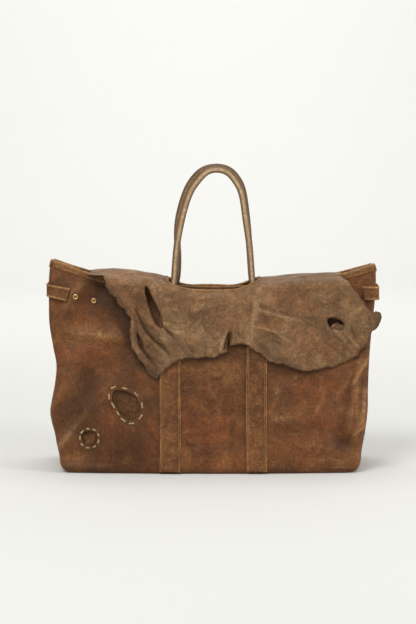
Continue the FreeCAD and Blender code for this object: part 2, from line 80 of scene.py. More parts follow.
def curve_through(points):
    """A smooth function in metres through (position, value) pairs given in millimetres."""
    knots, values = metres(points).T
    slopes = np.gradient(values, knots)

    def at(position):
        position = np.clip(np.asarray(position, float), knots[0], knots[-1])
        index = np.clip(np.searchsorted(knots, position, side="right") - 1, 0, len(knots) - 2)
        step = knots[index + 1] - knots[index]
        t = (position - knots[index]) / step
        return (
            (2 * t**3 - 3 * t**2 + 1) * values[index]
            + (t**3 - 2 * t**2 + t) * step * slopes[index]
            + (3 * t**2 - 2 * t**3) * values[index + 1]
            + (t**3 - t**2) * step * slopes[index + 1]
        )

    return at


def through(knots, steps):
    """Points on a smooth curve through every knot but the first and the last."""
    knots = np.asarray(knots, float)
    out = []
    for p0, p1, p2, p3 in zip(knots, knots[1:], knots[2:], knots[3:]):
        for t in np.linspace(0, 1, steps, endpoint=False):
            out.append(0.5 * (
                2 * p1 + (p2 - p0) * t + (2 * p0 - 5 * p1 + 4 * p2 - p3) * t**2
                + (3 * p1 - p0 - 3 * p2 + p3) * t**3
            ))
    return np.array(out)


def arc(centre, radius, angles):
    """Points of an arc in a plane, at angles in radians; the radius may be one for each direction."""
    return np.array(centre) + np.array(radius) * np.stack([np.cos(angles), np.sin(angles)], axis=-1)


def full_turn(count):
    """Evenly divided angles of a whole turn."""
    return np.linspace(0, math.tau, count, endpoint=False)


def smoothstep(low, high, value):
    """Rises smoothly from 0 at low to 1 at high, which may be the smaller."""
    t = np.clip((value - low) / (high - low), 0, 1)
    return t * t * (3 - 2 * t)


def smooth_max(a, b, softness):
    """The larger of two values, rounded where they meet."""
    return (a + b + np.sqrt((a - b) ** 2 + softness**2)) / 2


def blob(x, z, centre, width, height):
    """A soft round spot with a peak of 1."""
    return np.exp(-(((x - centre[0]) / width) ** 2 + ((z - centre[1]) / height) ** 2))


def fold(x, z, start, end, width):
    """A soft ridge with a peak of 1 along a line between two points."""
    start, end = np.array(start, float), np.array(end, float)
    along = end - start
    length = np.linalg.norm(along)
    along /= length
    rx, rz = x - start[0], z - start[1]
    t = rx * along[0] + rz * along[1]
    across = rx * along[1] - rz * along[0]
    overrun = np.maximum(np.maximum(-t, t - length), 0)
    return np.exp(-((across / width) ** 2) - (overrun / (1.5 * width)) ** 2)


def crease(x, z, points, width):
    """A sharp line with a peak of 1 through points, thinning towards both ends."""
    best = np.zeros(np.broadcast(x, z).shape)
    spans = len(points) - 1
    for index in range(spans):
        (ax, az), (bx, bz) = points[index], points[index + 1]
        dx, dz = bx - ax, bz - az
        t = np.clip(((x - ax) * dx + (z - az) * dz) / (dx * dx + dz * dz), 0, 1)
        gap = np.hypot(x - ax - t * dx, z - az - t * dz)
        place = (index + t) / spans
        taper = 0.35 + 0.65 * np.sin(math.pi * (0.08 + 0.84 * place))
        best = np.maximum(best, taper * np.exp(-gap / width))
    return best


def drawn(x, z, shapes):
    """The sum of soft shapes in millimetres. Five numbers are a round spot's peak, x, z, width and height;
    six are a ridge's peak, its start x and z, its end x and z, and its width."""
    total = np.zeros(np.broadcast(x, z).shape)
    for peak, *sizes in shapes:
        sizes = metres(sizes)
        if len(sizes) == 4:
            total += peak * blob(x, z, sizes[:2], sizes[2], sizes[3])
        else:
            total += peak * fold(x, z, sizes[:2], sizes[2:4], sizes[4])
    return total


def creased(x, z, lines):
    """The sum of creases in millimetres, each a peak, its points and its width."""
    total = np.zeros(np.broadcast(x, z).shape)
    for peak, points, width in lines:
        total += peak * crease(x, z, metres(points), width / 1000)
    return total


def clipped(marks):
    """Marks held between 0 and 1."""
    return {key: np.clip(values, 0, 1) for key, values in marks.items()}


def ripples(x, z, size, seed):
    """Smooth irregular noise between about -1 and 1 whose features are about size wide."""
    draw = np.random.default_rng(seed)
    total = np.zeros(np.broadcast(x, z).shape)
    for _ in range(RIPPLE_WAVES):
        angle = draw.uniform(0, math.tau)
        rate = math.tau / size * draw.uniform(0.35, 1.0)
        phase = draw.uniform(0, math.tau)
        total += np.sin(rate * (np.cos(angle) * x + np.sin(angle) * z) + phase)
    return total / math.sqrt(RIPPLE_WAVES)


# The bag's outer skin

LEFT_SIDE = curve_through([
    (0, 261.2), (10, 266.8), (31, 271.2), (64, 277.5), (90, 284.6), (107, 286.6), (124, 284.2),
    (155, 278.5), (188, 276.2), (221, 282.5), (258, 289), (300, 290.5), (335, 290.5), (375, 288),
])
RIGHT_SIDE = curve_through([
    (0, 258.5), (12, 264), (35, 267), (70, 273.5), (110, 277.8), (155, 279.5), (200, 281.6),
    (245, 285.6), (290, 291), (332, 294), (375, 294),
])
FOOT_BOW = 0.006
BOW_HALF_WIDTH = 0.27
FRONT_FOLDS = [
    (6, -268, 47, -226, 103, 9), (3, -262, 13, -180, 10, 5), (-3, -250, 32, -190, 30, 10),
    (-5.2, -240, 105, -222, 165, 16), (3.5, -262, 110, -250, 190, 10), (4, -246, 296, -221, 345, 10),
    (-3, -225, 270, -195, 325, 14), (2.2, -250, 243, -160, 236, 8), (-2.5, -245, 228, -150, 216, 10),
    (6.6, 236, 85, 262, 190, 7), (3, 212, 115, 240, 178, 5), (2.6, -275, 100, -262, 170, 6),
    (2.2, -120, 100, -85, 60, 8), (5, 252, 70, 268, 120, 7), (-3, 222, 60, 243, 155, 10),
    (-6.5, 232, 52, 22, 13), (3, 180, 46, 262, 28, 9), (2.2, 185, 110, 205, 60, 7),
    (-2.2, 110, 75, 215, 70, 12), (1.6, -45, 95, 50, 78, 12), (-1.6, -50, 60, 55, 50, 12),
]
BACK_FOLDS = [
    (3.5, 150, 40, 245, 90, 11), (-4, -240, 60, -215, 150, 12),
]


def half_width(z, side):
    return LEFT_SIDE(z) if side < 0 else RIGHT_SIDE(z)


def mouth_height(x):
    """The height of the leather's top edge; the right end is a little slacker than the left."""
    rise = MOUTH_RADIUS - np.sqrt(MOUTH_RADIUS**2 - np.clip(x, -0.3, 0.3) ** 2)
    return MOUTH_DIP + rise * np.where(x < 0, 1.0, 0.82)


def wall_bulge(x, z, broad, fine, seed):
    """The slow bulge and unevenness of a large wall."""
    body = smoothstep(0, 0.05, z) * smoothstep(0.37, 0.22, z)
    bulge = 0.0045 * body * (1 - (np.abs(x) / 0.29) ** 2)
    bulge += 0.0026 * body * ripples(x, z, broad, seed)
    return bulge + 0.0011 * smoothstep(0, 0.04, z) * ripples(x, z, fine, seed + 2)


def wall_relief(x, z, facing):
    """How far a large wall stands out of its flat plane."""
    if facing < 0:
        return wall_bulge(x, z, 0.16, 0.055, 3) + 0.001 * drawn(x, z, FRONT_FOLDS)
    return wall_bulge(x, z, 0.15, 0.050, 13) + 0.001 * drawn(x, z, BACK_FOLDS)


def foot_bow(x, z):
    """The foot's slow bow: full in the middle, drawn in at the corners."""
    return FOOT_BOW * (1 - 2 * (x / BOW_HALF_WIDTH) ** 2) * smoothstep(0.11, 0.0, z)


def wall_depth(x, z, facing=-1):
    """How far a wall's outer face is from the bag's middle plane."""
    return FOOT_HALF_DEPTH - z * math.tan(WALL_LEAN) + wall_relief(x, z, facing) + foot_bow(x, z)


def on_wall(x, z, stand_off=0.0, facing=-1):
    """A point on a wall's outer face, or standing off it."""
    y = facing * (wall_depth(x, z, facing) + stand_off / math.cos(WALL_LEAN))
    return np.stack(np.broadcast_arrays(x, y, z), axis=-1)


# Mesh helpers


def apply_modifiers(piece):
    """Makes the modified mesh the piece's own."""
    bpy.context.view_layer.update()
    graph = bpy.context.evaluated_depsgraph_get()
    mesh = bpy.data.meshes.new_from_object(piece.evaluated_get(graph), depsgraph=graph)
    piece.modifiers.clear()
    piece.data = mesh


def make_piece(name, vertices, faces, materials, marks=None):
    mesh = bpy.data.meshes.new(name)
    mesh.from_pydata([tuple(map(float, v)) for v in vertices], [], [tuple(map(int, f)) for f in faces])
    for key, values in (marks or {}).items():
        attribute = mesh.attributes.new(key, "FLOAT", "POINT")
        attribute.data.foreach_set("value", np.asarray(values, np.float32).ravel())
    mesh.polygons.foreach_set("use_smooth", [True] * len(mesh.polygons))
    mesh.update()
    piece = bpy.data.objects.new(name, mesh)
    bpy.context.scene.collection.objects.link(piece)
    for material in materials:
        mesh.materials.append(material)
    return piece


def grid_faces(rows, columns, closed=False):
    faces = []
    for row in range(rows - 1):
        for column in range(columns if closed else columns - 1):
            after = (column + 1) % columns
            faces.append((
                row * columns + column, row * columns + after,
                (row + 1) * columns + after, (row + 1) * columns + column,
            ))
    return faces


def tube_faces(rows, around, closed=False, first=0):
    """Faces round a tube of rings, whose two ends are covered unless it closes into a loop."""
    faces = grid_faces(rows, around, closed=True)
    last = (rows - 1) * around
    if closed:
        faces += [(last + k, last + (k + 1) % around, (k + 1) % around, k) for k in range(around)]
    else:
        faces += [tuple(reversed(range(around))), tuple(range(last, last + around))]
    return [tuple(first + k for k in face) for face in faces]


def tube(name, rings, materials, marks=None, painted=(), closed=False):
    """A piece made of rings of points, whose painted columns take the second material."""
    rows, around = rings.shape[:2]
    faces = tube_faces(rows, around, closed)
    marks = {key: np.broadcast_to(values, (rows, around)) for key, values in (marks or {}).items()}
    piece = make_piece(name, rings.reshape(-1, 3), faces, materials, marks)
    for index in range((rows - 1) * around):
        if index % around in painted:
            piece.data.polygons[index].material_index = 1
    face_outward(piece)
    return piece


def joined(name, tubes, material, marks=None):
    """One piece of several separate tubes, each an array of rings of points."""
    faces = []
    first = 0
    for rings in tubes:
        rows, around = rings.shape[:2]
        faces += tube_faces(rows, around, first=first)
        first += rows * around
    points = np.concatenate([rings.reshape(-1, 3) for rings in tubes])
    return make_piece(name, points, faces, [material], marks)


def settle(piece, body, slot, *nodes, bend=None):
    """The body that a piece moves with and the CAD nodes it stands for; the slot is not used. A piece with
    a bend has its transform baked in instead, and is not attached to a body."""
    if bend:
        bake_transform(piece)
    else:
        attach(piece, body)
    if nodes:
        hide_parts(*nodes)


def grid_piece(name, points, materials, marks=None, flip=False):
    rows, columns = points.shape[:2]
    faces = grid_faces(rows, columns)
    if flip:
        faces = [tuple(reversed(face)) for face in faces]
    return make_piece(name, points.reshape(-1, 3), faces, materials, marks)


def face_outward(piece, weld=False):
    """Turns every face outward, and joins doubled points where asked."""
    clean = bmesh.new()
    clean.from_mesh(piece.data)
    if weld:
        bmesh.ops.remove_doubles(clean, verts=clean.verts, dist=1e-6)
    bmesh.ops.recalc_face_normals(clean, faces=clean.faces)
    clean.to_mesh(piece.data)
    clean.free()


def thicken(piece, thickness, offset=-1.0, rim=0, inside=0):
    """Gives a sheet its thickness, with other materials on its rim and on its inner face."""
    modifier = piece.modifiers.new("thickness", "SOLIDIFY")
    modifier.thickness = thickness
    modifier.offset = offset
    modifier.use_even_offset = False
    modifier.use_rim = True
    modifier.material_offset_rim = rim
    modifier.material_offset = inside
    apply_modifiers(piece)


def normalised(vectors):
    return vectors / np.maximum(np.linalg.norm(vectors, axis=-1, keepdims=True), 1e-12)


def sweep(name, centres, side, up, profile, materials, closed=False, marks=None):
    """A profile of (side, up) points, or one for each place, carried along a line."""
    profile = np.asarray(profile, float)
    rings = centres[:, None] + profile[..., :1] * side[:, None] + profile[..., 1:] * up[:, None]
    return tube(name, rings, materials, marks, closed=closed)


def lengths_along(points):
    """The distance travelled along a line at each of its points."""
    return np.concatenate([[0], np.cumsum(np.linalg.norm(np.diff(points, axis=0), axis=1))])


def sampled(points, travelled, places):
    """The points of a line at given distances along it."""
    return np.stack([np.interp(places, travelled, column) for column in points.T], axis=-1)


def beside(line, closed=False):
    """The unit vectors to the right of a flat line."""
    ahead = np.roll(line, -1, axis=0) - np.roll(line, 1, axis=0) if closed else np.gradient(line, axis=0)
    return normalised(np.stack([ahead[:, 1], -ahead[:, 0]], axis=-1))


def along_line(points, outward, spacing, start):
    """Points, directions and outward directions at even spacing along a line."""
    outward = np.broadcast_to(np.asarray(outward, float), points.shape)
    travelled = lengths_along(points)
    places = np.arange(start, travelled[-1] - start * 0.5, spacing)
    ahead = sampled(points, travelled, places + spacing * 0.2)
    behind = sampled(points, travelled, places - spacing * 0.2)
    return sampled(points, travelled, places), normalised(ahead - behind), sampled(outward, travelled, places)


def around_ring(count):
    """Angles round a ring, shaped to be combined with rows of points."""
    return full_turn(count)[None, :, None]


def stitch_row(name, lines, body, length=0.0026, gap=0.0014, radius=0.00038):
    """Rows of separate small stitches along lines, each a tapered bead with its ends sunk in."""
    angles = around_ring(6)
    along = np.array([-0.5, -0.34, 0.0, 0.34, 0.5])[:, None, None] * length
    girth = np.array([0.15, 0.85, 1.0, 0.85, 0.15])[:, None, None] * radius
    beads = []
    for line, outward in lines:
        for place, direction, out in zip(*along_line(line, outward, length + gap, length)):
            out = normalised(out - direction * np.dot(out, direction))
            ring = np.cross(direction, out) * np.cos(angles) + out * np.sin(angles)
            beads.append(place + direction * along + girth * ring)
    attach(joined(name, beads, tan_thread), body)


# Materials


def colour(red, green, blue):
    """A display colour, 0 to 255, as the linear values that shaders take."""
    channels = []
    for channel in (red, green, blue):
        level = channel / 255
        channels.append(level / 12.92 if level <= 0.04045 else ((level + 0.055) / 1.055) ** 2.4)
    return (*channels, 1.0)


class Shader:
    """A small builder for node materials."""

    def __init__(self, name, roughness=0.6, specular=0.25, metallic=0.0):
        self.material = bpy.data.materials.new(name)
        self.material.use_nodes = True
        self.tree = self.material.node_tree
        self.surface = self.tree.nodes["Principled BSDF"]
        self.feed(self.surface, {
            "Roughness": roughness, "Specular IOR Level": specular, "Metallic": metallic})
        self.position = self.add("TexCoord", {})["Object"]

    def feed(self, node, inputs):
        """Links or sets a node's inputs, which are given by name or number."""
        for key, value in inputs.items():
            if isinstance(value, bpy.types.NodeSocket):
                self.tree.links.new(value, node.inputs[key])
            else:
                node.inputs[key].default_value = value

    def add(self, kind, inputs, **settings):
        """Makes a node and returns its outputs."""
        node = self.tree.nodes.new("ShaderNode" + kind)
        for key, value in settings.items():
            setattr(node, key, value)
        self.feed(node, inputs)
        return node.outputs

    def noise(self, scale, detail=4.0, roughness=0.55, distortion=0.0, stretch=None):
        position = self.position
        if stretch:
            position = self.add("Mapping", {"Vector": position, "Scale": stretch})["Vector"]
        return self.add("TexNoise", {
            "Vector": position, "Scale": scale, "Detail": detail, "Roughness": roughness,
            "Distortion": distortion})["Fac"]

    def cells(self, scale, position):
        inputs = {"Vector": position, "Scale": scale}
        return self.add("TexVoronoi", inputs, feature="DISTANCE_TO_EDGE")["Distance"]

    def warped(self, amount, scale):
        """The position, moved about by noise, so that cells look irregular."""
        shift = self.add("TexNoise", {"Vector": self.position, "Scale": scale})["Color"]
        inputs = {0: shift, 1: (amount, amount, amount), 2: self.position}
        return self.add("VectorMath", inputs, operation="MULTIPLY_ADD")["Vector"]

    def ramp(self, value, low, high, start=0.0, end=1.0):
        return self.add("MapRange", {
            "Value": value, "From Min": low, "From Max": high, "To Min": start, "To Max": end,
        }, clamp=True)["Result"]

    def math(self, operation, a, b):
        return self.add("Math", {0: a, 1: b}, operation=operation)["Value"]

    def mix(self, factor, a, b, blend="MIX"):
        """Mixes two colours; 6 and 7 are the node's colour inputs and 2 its colour output."""
        inputs = {"Factor": factor, 6: a, 7: b}
        return self.add("Mix", inputs, data_type="RGBA", blend_type=blend)[2]

    def mark(self, name, strength=1.0):
        """A piece's own mark of that name, from 0 to a strength."""
        mark = self.add("Attribute", {}, attribute_type="GEOMETRY", attribute_name=name)["Fac"]
        return self.ramp(mark, 0, 1, 0, strength)

    def bump(self, height, strength, distance, base=None):
        inputs = {"Height": height, "Strength": strength, "Distance": distance}
        if base is not None:
            inputs["Normal"] = base
        return self.add("Bump", inputs)["Normal"]

    def finish(self, **inputs):
        self.feed(self.surface, inputs)
        return self.material


def leather(name, deep, middle, pale, warm, grain=420, roughness=(0.42, 0.68), cloud=9, scuffing=1.0,
            gloss=0.16, mottle=1.0):
    """Aged hide: cloudy colour, warm patches, stains, scuffing, pebble grain and fine creases. Its own marks
    also carry painted shade, painted highlights and painted sheen.
    """
    s = Shader(name, specular=gloss)
    deep, middle, pale, warm = (colour(*tint) for tint in (deep, middle, pale, warm))
    shadow = (*(0.45 * level for level in deep[:3]), 1)
    crease_tint = (*(0.5 * level for level in deep[:3]), 1)
    tone = s.mix(s.ramp(s.noise(cloud, 6, 0.62, 0.5), 0.34, 0.62), deep, middle)
    patches = s.noise(cloud * 2.7, 5, 0.6, 0.8)
    tone = s.mix(s.ramp(patches, 0.50, 0.74, 0, 0.75 * mottle), tone, warm)
    rubbed = s.noise(cloud * 6.5, 6, 0.7, 0.3)
    tone = s.mix(s.ramp(rubbed, 0.50, 0.82, 0, 0.55 * mottle), tone, pale)
    # Grey and warm marks are stains; the pale mark is rubbing, and also painted highlights on ridges and
    # rims.
    for mark, strength, tint in (("grey", 0.5, colour(94, 68, 50)), ("warm", 0.6, warm), ("pale", 0.8, pale)):
        tone = s.mix(s.mark(mark, strength), tone, tint)
    # Greyish rubbed spots, which are also painted sheen where a piece lays them along its glossy folds.
    scuffs_and_sheen = s.math("MULTIPLY", s.mark("scuff_and_sheen"), s.ramp(s.noise(170, 8, 0.78), 0.50, 0.66, 0, scuffing))
    tone = s.mix(scuffs_and_sheen, tone, colour(184, 162, 132))
    worn_edges = s.ramp(s.add("NewGeometry", {})["Pointiness"], 0.52, 0.60, 0, 0.55)
    wear = s.math("MULTIPLY", worn_edges, s.ramp(s.noise(120, 4), 0.35, 0.62))
    tone = s.mix(wear, tone, pale)
    for scale, detail, rough, twist, low, high, dimmest, brightest in (
        (22, 7, 0.62, 2.0, 0.32, 0.68, 1 - 0.26 * mottle, 1 + 0.30 * mottle),
        (60, 6, 0.66, 1.2, 0.30, 0.70, 1 - 0.34 * mottle, 1 + 0.38 * mottle),
        (300, 6, 0.76, 0.0, 0.36, 0.64, 0.56, 1.50),
    ):
        shade = s.ramp(s.noise(scale, detail, rough, twist), low, high, dimmest, brightest)
        tone = s.mix(1.0, tone, shade, "MULTIPLY")
    # A fine pale speckle, partly real dustiness and partly painted glints of sheen.
    dust_and_glints = s.ramp(s.noise(420, 6, 0.74), 0.50, 0.66, 0, 0.36 * mottle)
    dust_and_glints = s.math("MULTIPLY", dust_and_glints, s.ramp(s.noise(34, 5, 0.6), 0.35, 0.65, 0.35, 1.0))
    tone = s.mix(dust_and_glints, tone, colour(170, 132, 94))
    for stretch in ((1.0, 1.0, 0.07), (0.06, 1.0, 1.0)):
        scratches = s.noise(240, 4, 0.6, 0.6, stretch=stretch)
        tone = s.mix(s.ramp(scratches, 0.64, 0.74, 0, 0.34 * scuffing), tone, pale)
    # The dark mark holds stains, and also painted shade in folds, under edges and in recesses.
    tone = s.mix(s.mark("dark", 0.86), tone, shadow)
    pores = s.ramp(s.cells(grain, s.warped(0.0035, 90)), 0.0, 0.11)
    tone = s.mix(s.ramp(pores, 0, 1, 0.30, 0), tone, shadow)
    tone = s.mix(s.ramp(s.noise(1500, 3, 0.6), 0.35, 0.75, 0, 0.20), tone, pale)
    creases = s.ramp(s.cells(46, s.warped(0.02, 26)), 0.0, 0.045)
    tone = s.mix(s.ramp(creases, 0, 1, 0.16, 0), tone, crease_tint)
    normal = s.bump(pores, 0.30, 0.0005)
    normal = s.bump(creases, 0.20, 0.0007, normal)
    normal = s.bump(s.noise(110, 7, 0.66, 0.5), 0.55, 0.0028, normal)
    polish = s.math("ADD", s.ramp(s.noise(28, 5, 0.65), 0.3, 0.7, *roughness), s.mark("scuff_and_sheen", 0.15))
    return s.finish(**{"Base Color": tone, "Normal": normal, "Roughness": polish})


def plain_stuff(name, base, second, scale, roughness, bump_scale, bump_depth, metallic=0.0):
    """A simple two-tone material with fine relief."""
    s = Shader(name, metallic=metallic)
    tone = s.mix(s.ramp(s.noise(scale, 5, 0.6), 0.35, 0.65), colour(*base), colour(*second))
    # The dark mark paints near-black shade into recesses.
    tone = s.mix(s.mark("dark", 0.92), tone, (0.012, 0.008, 0.006, 1))
    normal = s.bump(s.noise(bump_scale, 4, 0.6), 0.4, bump_depth)
    polish = s.ramp(s.noise(scale * 2, 4), 0.3, 0.7, roughness - 0.08, roughness + 0.1)
    return s.finish(**{"Base Color": tone, "Normal": normal, "Roughness": polish})


body_leather = leather(
    "body_leather", (67, 35, 15), (117, 69, 34), (160, 114, 68), (126, 62, 28),
    roughness=(0.28, 0.48), scuffing=0.9, gloss=0.22, mottle=0.8)
flap_leather = leather(
    "flap_leather", (88, 58, 35), (134, 98, 64), (174, 140, 100), (126, 78, 46),
    roughness=(0.36, 0.60), cloud=11, gloss=0.24)
strap_leather = leather(
    "strap_leather", (80, 46, 24), (118, 74, 42), (158, 116, 74), (116, 62, 34),
    cloud=16, scuffing=0.6)
edge_leather = leather(
    "edge_leather", (112, 76, 42), (156, 112, 66), (190, 150, 98), (132, 84, 44),
    cloud=24, grain=600, scuffing=0.5)
rim_leather = leather(
    "rim_leather", (88, 55, 30), (124, 82, 48), (168, 126, 82), (118, 68, 36),
    cloud=24, grain=600, scuffing=0.5)
handle_leather = leather(
    "handle_leather", (104, 68, 38), (140, 100, 62), (208, 178, 138), (130, 84, 48),
    cloud=26, grain=650, roughness=(0.28, 0.42), scuffing=0.4, gloss=0.35, mottle=0.4)
raw_edge = leather(
    "raw_edge", (46, 29, 16), (78, 53, 32), (118, 88, 58), (74, 46, 26),
    cloud=60, grain=900, roughness=(0.7, 0.9), scuffing=0.4)
welt_leather = leather(
    "welt_leather", (52, 30, 15), (80, 49, 27), (116, 80, 48), (82, 44, 20),
    cloud=30, grain=600, scuffing=0.3)
suede = plain_stuff(
    "inside_suede", (46, 31, 22), (64, 44, 31), 60, 0.85, 700, 0.0006)
patch_leather = leather(
    "patch_leather", (66, 38, 20), (104, 66, 38), (146, 106, 68), (98, 52, 26),
    cloud=60, scuffing=0.6)
tan_thread = plain_stuff(
    "tan_thread", (140, 108, 72), (164, 130, 90), 300, 0.7, 2600, 0.0003)
cream_thread = plain_stuff(
    "cream_thread", (150, 128, 94), (198, 178, 140), 260, 0.75, 2200, 0.0004)
brass = plain_stuff(
    "brass", (205, 158, 98), (232, 190, 132), 500, 0.3, 900, 0.0002, metallic=1.0)
board = plain_stuff("board", (112, 92, 70), (134, 112, 86), 80, 0.85, 500, 0.0004)
filler = plain_stuff("handle_filler", (188, 174, 148), (206, 192, 166), 200, 0.85, 900, 0.0005)

# Walls: the front and back wrap round the corners on to the folded gussets

WALL_COLUMNS = 250
WALL_ROWS = 165
CORNER_STEPS = 7
GUSSET_COLUMNS = 72
MIDDLE_TOP = 0.34
END_TOP = 0.36
GUSSET_SHARPNESS = 0.10


def corner_radius(z):
    return 0.013 - 0.006 * smoothstep(0.05, 0.36, z)


def foot_tuck(z):
    """How far the skin curls in under the bag at its foot."""
    lift = np.clip(1 - z / 0.011, 0, 1)
    return 0.0075 * (1 - np.sqrt(np.clip(1 - lift**2, 0, 1)))


def gusset_fold(z):
    """How far the middle of a gusset is folded in."""
    return 0.040 * smoothstep(-0.02, 0.36, z) ** 1.15


def rise_levels():
    """Even levels up the wall, closer together at the foot."""
    foot = np.array([0.0, 0.0012, 0.0035, 0.008, 0.014, 0.022])
    return np.concatenate([foot, np.linspace(0.03, 1, WALL_ROWS)])


def wall_points(facing):
    """The outer face of one large wall, from its left corner round to its right corner."""
    levels = rise_levels()[:, None]
    flat = np.linspace(-1, 1, WALL_COLUMNS)[None, :]
    turn = np.linspace(0, math.pi / 2, CORNER_STEPS)[1:]
    height = levels * MIDDLE_TOP
    z_flat = levels * mouth_height(flat * np.where(flat < 0, LEFT_SIDE(height), RIGHT_SIDE(height)))
    radius = corner_radius(z_flat)
    x = flat * (np.where(flat < 0, LEFT_SIDE(z_flat), RIGHT_SIDE(z_flat)) - radius)
    depth = wall_depth(x, z_flat, facing) - foot_tuck(z_flat)
    middle = np.stack([x, facing * depth, z_flat], axis=-1)

    def corner(side):
        z = levels * mouth_height(side * half_width(levels * END_TOP, side))
        bend = corner_radius(z)
        wide = half_width(z, side)
        depth_there = wall_depth(side * (wide - bend), z, facing) - foot_tuck(z)
        cx = side * (wide - bend + bend * np.sin(turn)) - side * foot_tuck(z) * np.sin(turn)
        cy = facing * (depth_there - bend * (1 - np.cos(turn)))
        return np.stack([cx, cy, np.broadcast_to(z, cx.shape)], axis=-1)

    return np.concatenate([corner(-1)[:, ::-1], middle, corner(1)], axis=1)


def gusset_points(side):
    """The outer face of one end, from the front corner to the back corner."""
    levels = rise_levels()[:, None]
    t = np.linspace(-1, 1, GUSSET_COLUMNS)[None, :]
    z = levels * mouth_height(side * half_width(levels * END_TOP, side))
    bend = corner_radius(z)
    wide = half_width(z, side)
    front = wall_depth(side * (wide - bend), z, -1) - foot_tuck(z) - bend
    back = wall_depth(side * (wide - bend), z, 1) - foot_tuck(z) - bend
    y = np.where(t < 0, t * front, t * back)
    ridge = np.sqrt(1 + GUSSET_SHARPNESS**2)
    folded = (ridge - np.sqrt(t**2 + GUSSET_SHARPNESS**2)) / (ridge - GUSSET_SHARPNESS)
    bow = 0.0035 * np.sin(math.pi * np.clip(1 - np.abs(t), 0, 1)) * smoothstep(0.02, 0.1, z)
    ruffle = 0.0016 * ripples(y, z, 0.06, 21 + side) * smoothstep(0, 0.04, z) * (1 - t**4)
    x = wide - foot_tuck(z) - gusset_fold(z) * folded + bow + ruffle
    dip = (mouth_height(x) - mouth_height(wide)) * levels
    return np.stack([side * x, y, z + dip], axis=-1)


# The hide's natural edge in front, from the upper left, anticlockwise
HIDE_EDGE = [
    (-219, 349.2), (-210, 349), (-196.4, 347.8), (-190, 345), (-188.5, 338), (-187.2, 330),
    (-180.7, 320.2), (-174.5, 313), (-168.5, 308.8), (-167.2, 303), (-165, 298.2), (-159.5, 292.5),
    (-154.4, 288.2), (-150, 281), (-143, 272.2), (-142.5, 268.6), (-145.1, 252.5), (-144.8, 238.3),
    (-142.4, 224), (-137.1, 211.4), (-132, 204), (-126.6, 197.1), (-121, 190.5), (-116, 182.8),
    (-110, 175), (-105.4, 170.2), (-99, 167.2), (-95.5, 167.7), (-92.5, 172.5), (-86.9, 177.4),
    (-78, 185), (-69.8, 191.7), (-63, 196.5), (-55.6, 198.9), (-45, 201.2), (-34.4, 202.5), (-22, 202.2),
    (-9.5, 203.2), (1, 202.8), (8.2, 203.6), (15, 208), (21.6, 210.7), (26.5, 212.5), (29, 215),
    (28.4, 223), (29.4, 233), (30.6, 233), (31.2, 224), (32.2, 220), (36.5, 223.2), (43, 225.2),
    (50.7, 225.7), (58, 225.5), (64.9, 224), (68.5, 220.5), (72, 218.6), (76.5, 216), (80.8, 212.5),
    (85, 210.8), (89.7, 207.9), (94, 203), (98.6, 198.9), (106, 195.5), (114.6, 192.8), (123, 192.5),
    (132.3, 191), (139, 187), (144.8, 184.6), (151, 181.8), (157.2, 180.2), (166, 179.2), (175, 179.5),
    (184, 181.2), (192.7, 182.8), (205, 185.5), (217.5, 188.1), (230, 192.5), (242.3, 197.1), (250, 201),
    (256.4, 204.3), (261.5, 211), (266.9, 216.8), (272.5, 223), (277.4, 229.3), (280.5, 236),
    (282.6, 241.8), (284.2, 249), (291.3, 254.3), (295.5, 260), (299, 266.8), (301.5, 273.9),
    (298.5, 282), (290.5, 285), (286.5, 283.5), (282, 286.2), (276.2, 292.5), (270.5, 299.5),
    (265, 308.5), (256, 320.5), (248.5, 331), (240.5, 339.5), (235, 342),
]
HEM_SHADE = [(x, z - 3) for x, z in HIDE_EDGE[20:68]]
